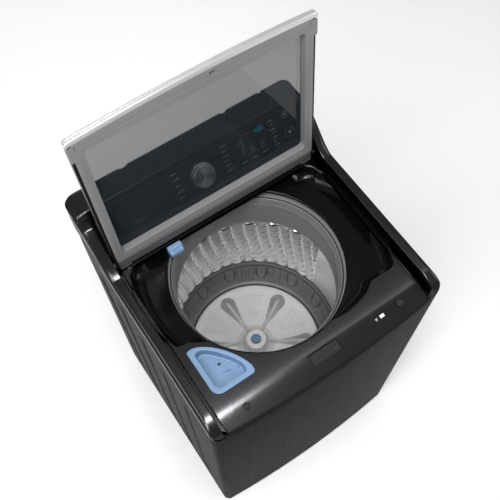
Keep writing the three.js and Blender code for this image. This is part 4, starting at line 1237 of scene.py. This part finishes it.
def scale_cells(angle, z):
    """Place in the pattern: how far across a column and up a scale, each 0 to 1, and the height on the
    wall."""
    t = (z - SCALE_LOW) / (SCALE_HIGH - SCALE_LOW)
    column = angle / (2 * math.pi) * COLUMNS + column_lean(t)
    across = column % 1.0
    number = np.floor(column)
    rise = (t * ROWS + 0.5 * (number % 2) + 0.35 * across) % 1.0
    return across, rise, t


def plain_part(angle, t):
    """0 over the smooth strip and above and below the scales, 1 on them."""
    turn_by = (angle - smooth_strip + math.pi) % (2 * math.pi) - math.pi
    strip = np.clip((np.abs(turn_by) - STRIP_HALF) / 0.02, 0, 1)
    return strip * np.clip(np.minimum(t, 1 - t) / 0.02, 0, 1)


def pressed_scales(angle, z):
    """Height of the pressing: in each cell a leaf with pointed ends that rises sharply at its lower edge
    and falls slowly above, and a smooth bead along each seam."""
    across, rise, t = scale_cells(angle, z)
    seam = np.minimum(across, 1 - across)
    bead = np.exp(-((seam / 0.06) ** 2))
    point = np.clip((seam - 0.05) / 0.3, 0, 1)
    lens = np.sin(0.5 * math.pi * point)
    leaf = lens * np.clip(rise / 0.16, 0, 1) * np.clip((1.02 - rise) / 0.8, 0, 1)
    return (8.5 * leaf + 3.0 * bead) * plain_part(angle, t)


def scale_shade(angle, z):
    """Painted shade in the gap under each leaf, from 0 to 1: a wedge that is deepest midway between the
    seams.
    """
    across, rise, t = scale_cells(angle, z)
    seam = np.minimum(across, 1 - across)
    gap = np.clip(1 - np.abs(rise - 0.9) / (0.02 + 0.34 * np.clip(seam - 0.08, 0, 0.5)), 0, 1)
    upper = 0.75 + 0.25 * np.clip((t - 0.55) / 0.3, 0, 1)
    return np.clip(gap * 2.4, 0, 1) * upper * plain_part(angle, t)


def drum_wall():
    """The wall as a cylinder pushed in by the pressing, with painted shade in the gaps, below the scales and
    above them under the ring.
    """
    angle = whole_turn(COLUMNS * 16)
    z = np.concatenate([[351, 380, 410, 428, 444], np.linspace(SCALE_LOW, SCALE_HIGH, 120),
                        [728, 760, 800, 924]])
    aa, zz = np.meshgrid(angle, z)
    patterned = (zz >= SCALE_LOW) & (zz <= SCALE_HIGH)
    radius = DRUM_RADIUS - np.where(patterned, pressed_scales(aa, zz), 0)
    painted_low_shade = np.clip((SCALE_LOW + 2 - zz) / 4, 0, 1) * 0.72
    tone = np.where(patterned, scale_shade(aa, zz), np.where(zz > SCALE_HIGH, 0.9, 0)) + painted_low_shade
    return round_axis(radius, aa, zz), tone


wall_points, wall_painted_shade = drum_wall()
make_piece("drum_wall_sheet", [(wall_points, True)], "drum", drum_steel, "wash_drum",
           wall=0.6,
           facing=(0, AXIS, 640), crease=28, tones=[wall_painted_shade])


def drum_holes():
    """A small disc painted with the shade seen in each drain hole, beside each seam, one for every scale."""
    discs = []
    swing = whole_turn(6)
    for column in range(COLUMNS):
        for row in range(ROWS):
            t = (row + 0.5 * (column % 2) + 0.3) / ROWS
            if not 0.05 < t < 0.96:
                continue
            z = SCALE_LOW + t * (SCALE_HIGH - SCALE_LOW)
            angle = (column + 0.13 - column_lean(t)) / COLUMNS * 2 * math.pi
            if plain_part(np.array(angle), t) < 1:
                continue
            near = DRUM_RADIUS - float(pressed_scales(np.array([angle]), np.array([z]))[0])
            rings = []
            for r, lift in ((1.7, -0.2), (1.7, 0.35)):
                a = angle + r * np.cos(swing) / DRUM_RADIUS
                rings.append(round_axis(near - lift, a, z + r * np.sin(swing)))
            discs.append((np.array(rings), True, False, True))
    return discs


make_piece("drum_holes", drum_holes(), "drum", painted_hole_shade)


# Balance ring: a grey moulding round the drum's top. Its rim has two grooves, the inner one darkened with
# painted shade, and its inside has a step below the rim.

ring_grey = Finish("ring_grey")
ring_grain = ring_grey.noise(500, 2, 0.6)
ring_tone = ring_grey.noise(5, 2)
ring_shade = ring_grey.tone()
ring_grey.set(
    Base_Color=ring_grey.blend(ring_shade, ring_grey.blend(ring_tone, (0.14, 0.1415, 0.144),
                                                           (0.17, 0.172, 0.175)),
                               (0.018, 0.0185, 0.019)),
    Roughness=0.33 + ring_grain * 0.1,
)
ring_grey.bump(ring_grain, 0.05, 0.0002)
ring_section = rounded(
    [[262.0, 801], [262.0, 925.4], [267, 925.4], [267, 933.8], [253, 934.0], [252, 929.0], [249, 929.0],
     [248, 933.8],
     [231.4, 933.6], [230.2, 931.4], [229.4, 924.0], [227.2, 923.6], [226.6, 929.6], [224.4, 929.0],
     [220.6, 908.0], [218.8, 904.6], [218.6, 900.6], [220.8, 896.0], [221.2, 878.5], [221.2, 874],
     [221.0, 872.5],
     [221.6, 806], [223.4, 800.6]],
    [1, 0, 0.5, 2, 0.6, 0.6, 0.6, 0.8, 1.0, 0.6, 0.6, 0.6, 0.8, 2.0, 3.0, 1.4, 1.4, 1.6, 0.5, 0.5, 0.5, 3,
     0.4],
    4, closed=True)
ring_points = turned(ring_section, 160)
# The inner groove's points get tone 1, which blends the grey to near black: painted shade.
groove_painted_shade = np.where((np.abs(ring_section[:, 0] - 228.3) < 1.6) & (ring_section[:, 1] < 928), 1.0, 0.0)
ring_painted_shade = np.repeat(groove_painted_shade[:, None], ring_points.shape[1], axis=1)
make_piece("balance_ring_moulding", [(ring_points, True, True)], "drum", ring_grey, "balance_ring",
           crease=35, tones=[ring_painted_shade])


# Drum base: a dark grey moulded ring between the impeller and the wall, with upright ribs, U-shaped bosses
# for its screws and a stepped shoulder.

base_grey = Finish("base_grey")
speckle = base_grey.noise(160, 4, 0.7)
base_tone = base_grey.noise(18, 3)
# The tone blends the grey to near black: painted shade beside the bosses and ribs and along two lines.
relief_painted_shade = base_grey.tone()
base_grey.set(
    Base_Color=base_grey.blend(relief_painted_shade, base_grey.blend(
        base_tone * 0.5 + speckle * 0.5, (0.1, 0.1015, 0.104), (0.2, 0.2025, 0.207)),
        (0.018, 0.0185, 0.0195)),
    Roughness=0.34 + speckle * 0.2,
)
base_grey.bump(speckle, 0.25, 0.0005)
BOSSES = 14


def base_ring():
    """The inside wall by angle and distance up the section, pushed in by ribs and by the outline of a U at
    each boss, with painted shade beside each U and rib and along lines at the shoulder and the foot."""
    section = rounded([[217.2, 338.5], [217.4, 350.4], [221, 351.8], [228, 354.5], [243, 378], [255.5, 424],
                       [258, 428], [261.4, 431.5], [261.4, 436]], [0, 1.5, 1.5, 4, 10, 4, 2, 1, 0], 5)
    run = np.concatenate([[0], np.cumsum(np.linalg.norm(np.diff(section, axis=0), axis=1))])
    place = np.linspace(0, run[-1], 84)
    radius, z = np.interp(place, run, section[:, 0]), np.interp(place, run, section[:, 1])
    angle = whole_turn(BOSSES * 60)
    aa, rr = np.meshgrid(angle, radius)
    zz = np.repeat(z[:, None], len(angle), axis=1)
    cell = ((aa / (2 * math.pi) * BOSSES + 0.5) % 1.0 - 0.5) * 2 * math.pi * 250 / BOSSES
    up = zz - 388
    bowl = np.where(up < 0, np.hypot(cell, up), np.abs(cell))
    tall = np.clip((zz - 357) / 5, 0, 1) * np.clip((420 - zz) / 4, 0, 1)
    u_shape = np.exp(-(((bowl - 15) / 2.4) ** 2)) * tall
    u_shade = np.exp(-(((bowl - 19) / 2.2) ** 2)) * tall
    outside = np.abs(cell) > 24
    ribs = np.clip(np.cos(cell / 7.2 * math.pi), 0, 1) ** 6 * outside * tall
    rib_shade = np.clip(np.cos((cell - 2.6) / 7.2 * math.pi), 0, 1) ** 10 * outside * tall * 0.4
    ledge = np.exp(-(((zz - 421) / 2.0) ** 2)) * 1.6
    # Painted shade along the shoulder and the foot, added to the shade beside each U and rib.
    line = np.exp(-(((zz - 425.4) / 2.2) ** 2)) * 0.95 + np.exp(-(((zz - 350.5) / 1.6) ** 2)) * 0.8
    push = 3.6 * u_shape + 2.2 * ribs + ledge
    tone = np.clip(u_shade * 0.9 + rib_shade + line, 0, 1)
    return round_axis(rr - push, aa, zz), tone


base_points, base_shade = base_ring()
make_piece("drum_base_ring", [(base_points, True)], "drum", base_grey, "drum_base",
           wall=1.2,
           facing=(0, AXIS, 640), crease=40, tones=[base_shade])


# Impeller: a pale moulded dish with six raised ribs. Each rib lies in a long sunk leaf, and patches of small
# holes lie between them. A blue cap covers its screw.

pearl_grey = Finish("pearl_grey")
pearl = pearl_grey.noise(420, 3, 0.65)
pearl_tone = pearl_grey.noise(9, 3)
# The tone darkens the sunk leaves towards the rim: painted shade.
painted_leaf_shade = pearl_grey.tone()
pearl_grey.set(
    Base_Color=pearl_grey.blend(painted_leaf_shade, pearl_grey.blend(pearl_tone, (0.66, 0.652, 0.643),
                                                            (0.76, 0.752, 0.742)),
                                (0.2, 0.198, 0.196)),
    Metallic=0.15,
    Roughness=0.34 + pearl * 0.12,
)
pearl_grey.bump(pearl, 0.08, 0.0002)
hole_shade = Finish("hole_shade")
hole_shade.set(Base_Color=(0.05, 0.0495, 0.049), Roughness=0.4 + hole_shade.noise(300, 2) * 0.1)
RIBS = 6


def dish_height(radius):
    """The plain dish: level at its rim, with a slow rise to the hub."""
    section = [(0, 398), (34, 398), (38, 384), (46, 369), (62, 360), (120, 352.5), (180, 350), (208, 351.5),
               (213, 351), (215, 347)]
    return np.interp(radius, *np.transpose(section))


def rib_terms(radius, angle):
    """Distance across and along the nearest rib, the leaf's half width there, and the rib's crest. The leaf
    widens slowly from a point near the hub and ends in a half circle."""
    near = (angle / (2 * math.pi) * RIBS) % 1.0 - 0.5
    off = near * 2 * math.pi / RIBS
    across, along = radius * np.sin(off), radius * np.cos(off)
    t = np.clip((along - 52) / 118, 0, 1)
    half = (4 + 23 * t**1.2) * np.sqrt(np.clip(1 - np.clip((along - 170) / 27, 0, 1) ** 2, 0, 1))
    crest = np.clip((along - 34) / 10, 0, 1) * np.clip((188 - along) / 26, 0, 1)
    return across, along, half, crest


def dish():
    """The dish with each leaf sunk 5 mm and its rib standing 13 mm high, and the leaf's shade as a tone that
    deepens outwards and leaves the rib light."""
    radius = np.concatenate([np.linspace(33.5, 46, 8), np.linspace(48, 206, 120),
                             [208, 210, 212, 213.5, 214.6, 215]])
    angle = whole_turn(720)
    aa, rr = np.meshgrid(angle, radius)
    across, along, half, crest = rib_terms(rr, aa)
    inside = np.clip((half - np.abs(across)) / 4.0, 0, 1) * np.clip((along - 56) / 20, 0, 1)
    inside = smooth(inside)
    width = 4.6 + 2.4 * np.clip((along - 60) / 110, 0, 1)
    rib = np.exp(-((across / width) ** 2)) * crest
    tone = inside * (0.25 + 0.6 * np.clip((along - 60) / 90, 0, 1)) * (1 - np.clip(rib * 1.4, 0, 1))
    z = dish_height(rr) - 5.0 * inside + rib * 13
    return round_axis(rr, aa, z), tone


dish_edge = turned([[215, 347], [214.6, 343.6], [210, 343], [60, 343]], 720)
hub = turned(rounded([[33.5, 398.0], [32.2, 399.0], [20, 399.4], [17.2, 398.4], [16.4, 393.9], [10.4, 393.9]],
                     [0, 1.2, 1.2, 0.6, 0.4, 0], 4), 96)
top, top_tone = dish()
top[0, :, 2] = 398.0
make_piece("impeller_moulding", [(top, True), (hub, True), (dish_edge, True)], "wash_plate", pearl_grey,
           "impeller",
           wall=1.0, facing=(0, AXIS, 9000), crease=40,
           tones=[top_tone, np.zeros(hub.shape[:2]), np.zeros(dish_edge.shape[:2])])

cap = rounded([[0, 394.6], [15.8, 394.6], [15.8, 401.4], [12.6, 405], [0, 405.9]], [0, 0.6, 2, 5, 0], 6)
make_piece("impeller_cap_moulding", [(turned(cap, 64), True)], "wash_plate", sky_blue, "impeller_cap",
           crease=50)


def dish_holes():
    """Small drain holes in bowed rows between the ribs, each a dark disc just proud of the dish."""
    discs = []
    swing = whole_turn(6)
    for rib in range(RIBS):
        middle = rib / RIBS * 2 * math.pi
        for row, radius in enumerate(np.arange(100, 192, 9.5)):
            count = 3 + int((radius - 90) / 14)
            for i in range(count):
                off = (i - (count - 1) / 2 + 0.25 * (row % 2)) * 9.2 / radius
                angle = middle + off
                x, y = radius * math.cos(angle), AXIS + radius * math.sin(angle)
                z = float(dish_height(radius))
                circle = np.stack([x + 1.35 * np.cos(swing), y + 1.35 * np.sin(swing)], axis=1)
                discs.append((at_levels([(circle, z - 0.3), (circle, z + 0.22)]), True, False, True))
    return discs


make_piece("impeller_holes", dish_holes(), "wash_plate", hole_shade)


# Works inside the cabinet, which keep their CAD shapes: the galvanised base on four feet, the rear panel,
# the hanging tub with its rods and cups, the bearing housing, the motor and clutch, the valve, the pump,
# the lid lock and the circuit board.


def plain_finish(name, dark, light, rough, metallic=0.0, grain=60, relief=0.1, stretch=(1, 1, 1)):
    """A finish whose colour wanders between two tones with its grain, which also gives a fine relief."""
    finish = Finish(name)
    pattern = finish.noise(grain, 3, 0.6, stretch)
    finish.set(Base_Color=finish.blend(pattern, dark, light), Metallic=metallic,
               Roughness=rough + pattern * 0.14)
    return finish.bump(pattern, relief, 0.0004)


galvanised = plain_finish("galvanised_steel", (0.3, 0.31, 0.32), (0.5, 0.51, 0.52), 0.36, 0.9, 22)
tub_white = plain_finish("tub_white", (0.6, 0.605, 0.6), (0.7, 0.705, 0.7), 0.42, 0.0, 40)
moulded_black = plain_finish("moulded_black", (0.012, 0.012, 0.0125), (0.022, 0.022, 0.023), 0.45, 0.0, 300)
cast_alloy = plain_finish("cast_alloy", (0.3, 0.303, 0.31), (0.46, 0.463, 0.47), 0.5, 0.8, 140, 0.35)
ground_steel = plain_finish("ground_steel", (0.5, 0.503, 0.51), (0.66, 0.663, 0.67), 0.22, 1.0, 200, 0.08,
                            (1, 1, 0.05))
copper_wire = plain_finish("copper_windings", (0.34, 0.12, 0.045), (0.55, 0.22, 0.09), 0.34, 0.7, 180, 0.5,
                           (1, 1, 0.2))
black_steel = plain_finish("rotor_steel", (0.05, 0.051, 0.053), (0.1, 0.101, 0.104), 0.38, 0.7, 60)
board_green = plain_finish("board_green", (0.01, 0.07, 0.03), (0.02, 0.11, 0.05), 0.4, 0.0, 120, 0.2)
foot_rubber = plain_finish("foot_rubber", (0.012, 0.012, 0.012), (0.02, 0.02, 0.02), 0.6, 0.0, 90)
works = {
    "base_frame": galvanised, "rear_panel": charcoal_paint, "outer_tub": tub_white,
    "clutch_slider": tub_white,
    "inlet_valve": tub_white, "drain_pump": moulded_black, "lid_lock_housing": moulded_black,
    "lid_lock_bolt": moulded_black, "control_board": board_green, "bearing_housing": cast_alloy,
    "lower_bearing": ground_steel, "upper_bearing": ground_steel, "spin_tube": ground_steel,
    "drive_shaft": ground_steel, "motor_stator": copper_wire, "motor_rotor": black_steel,
}
for corner in ("front_left", "front_right", "rear_left", "rear_right"):
    works[corner + "_suspension_rod"] = ground_steel
    works[corner + "_damper_cup"] = moulded_black
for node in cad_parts:
    if "foot" in node:
        works[node] = foot_rubber
for node, finish in works.items():
    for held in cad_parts[node].material_slots:
        held.material = finish.material
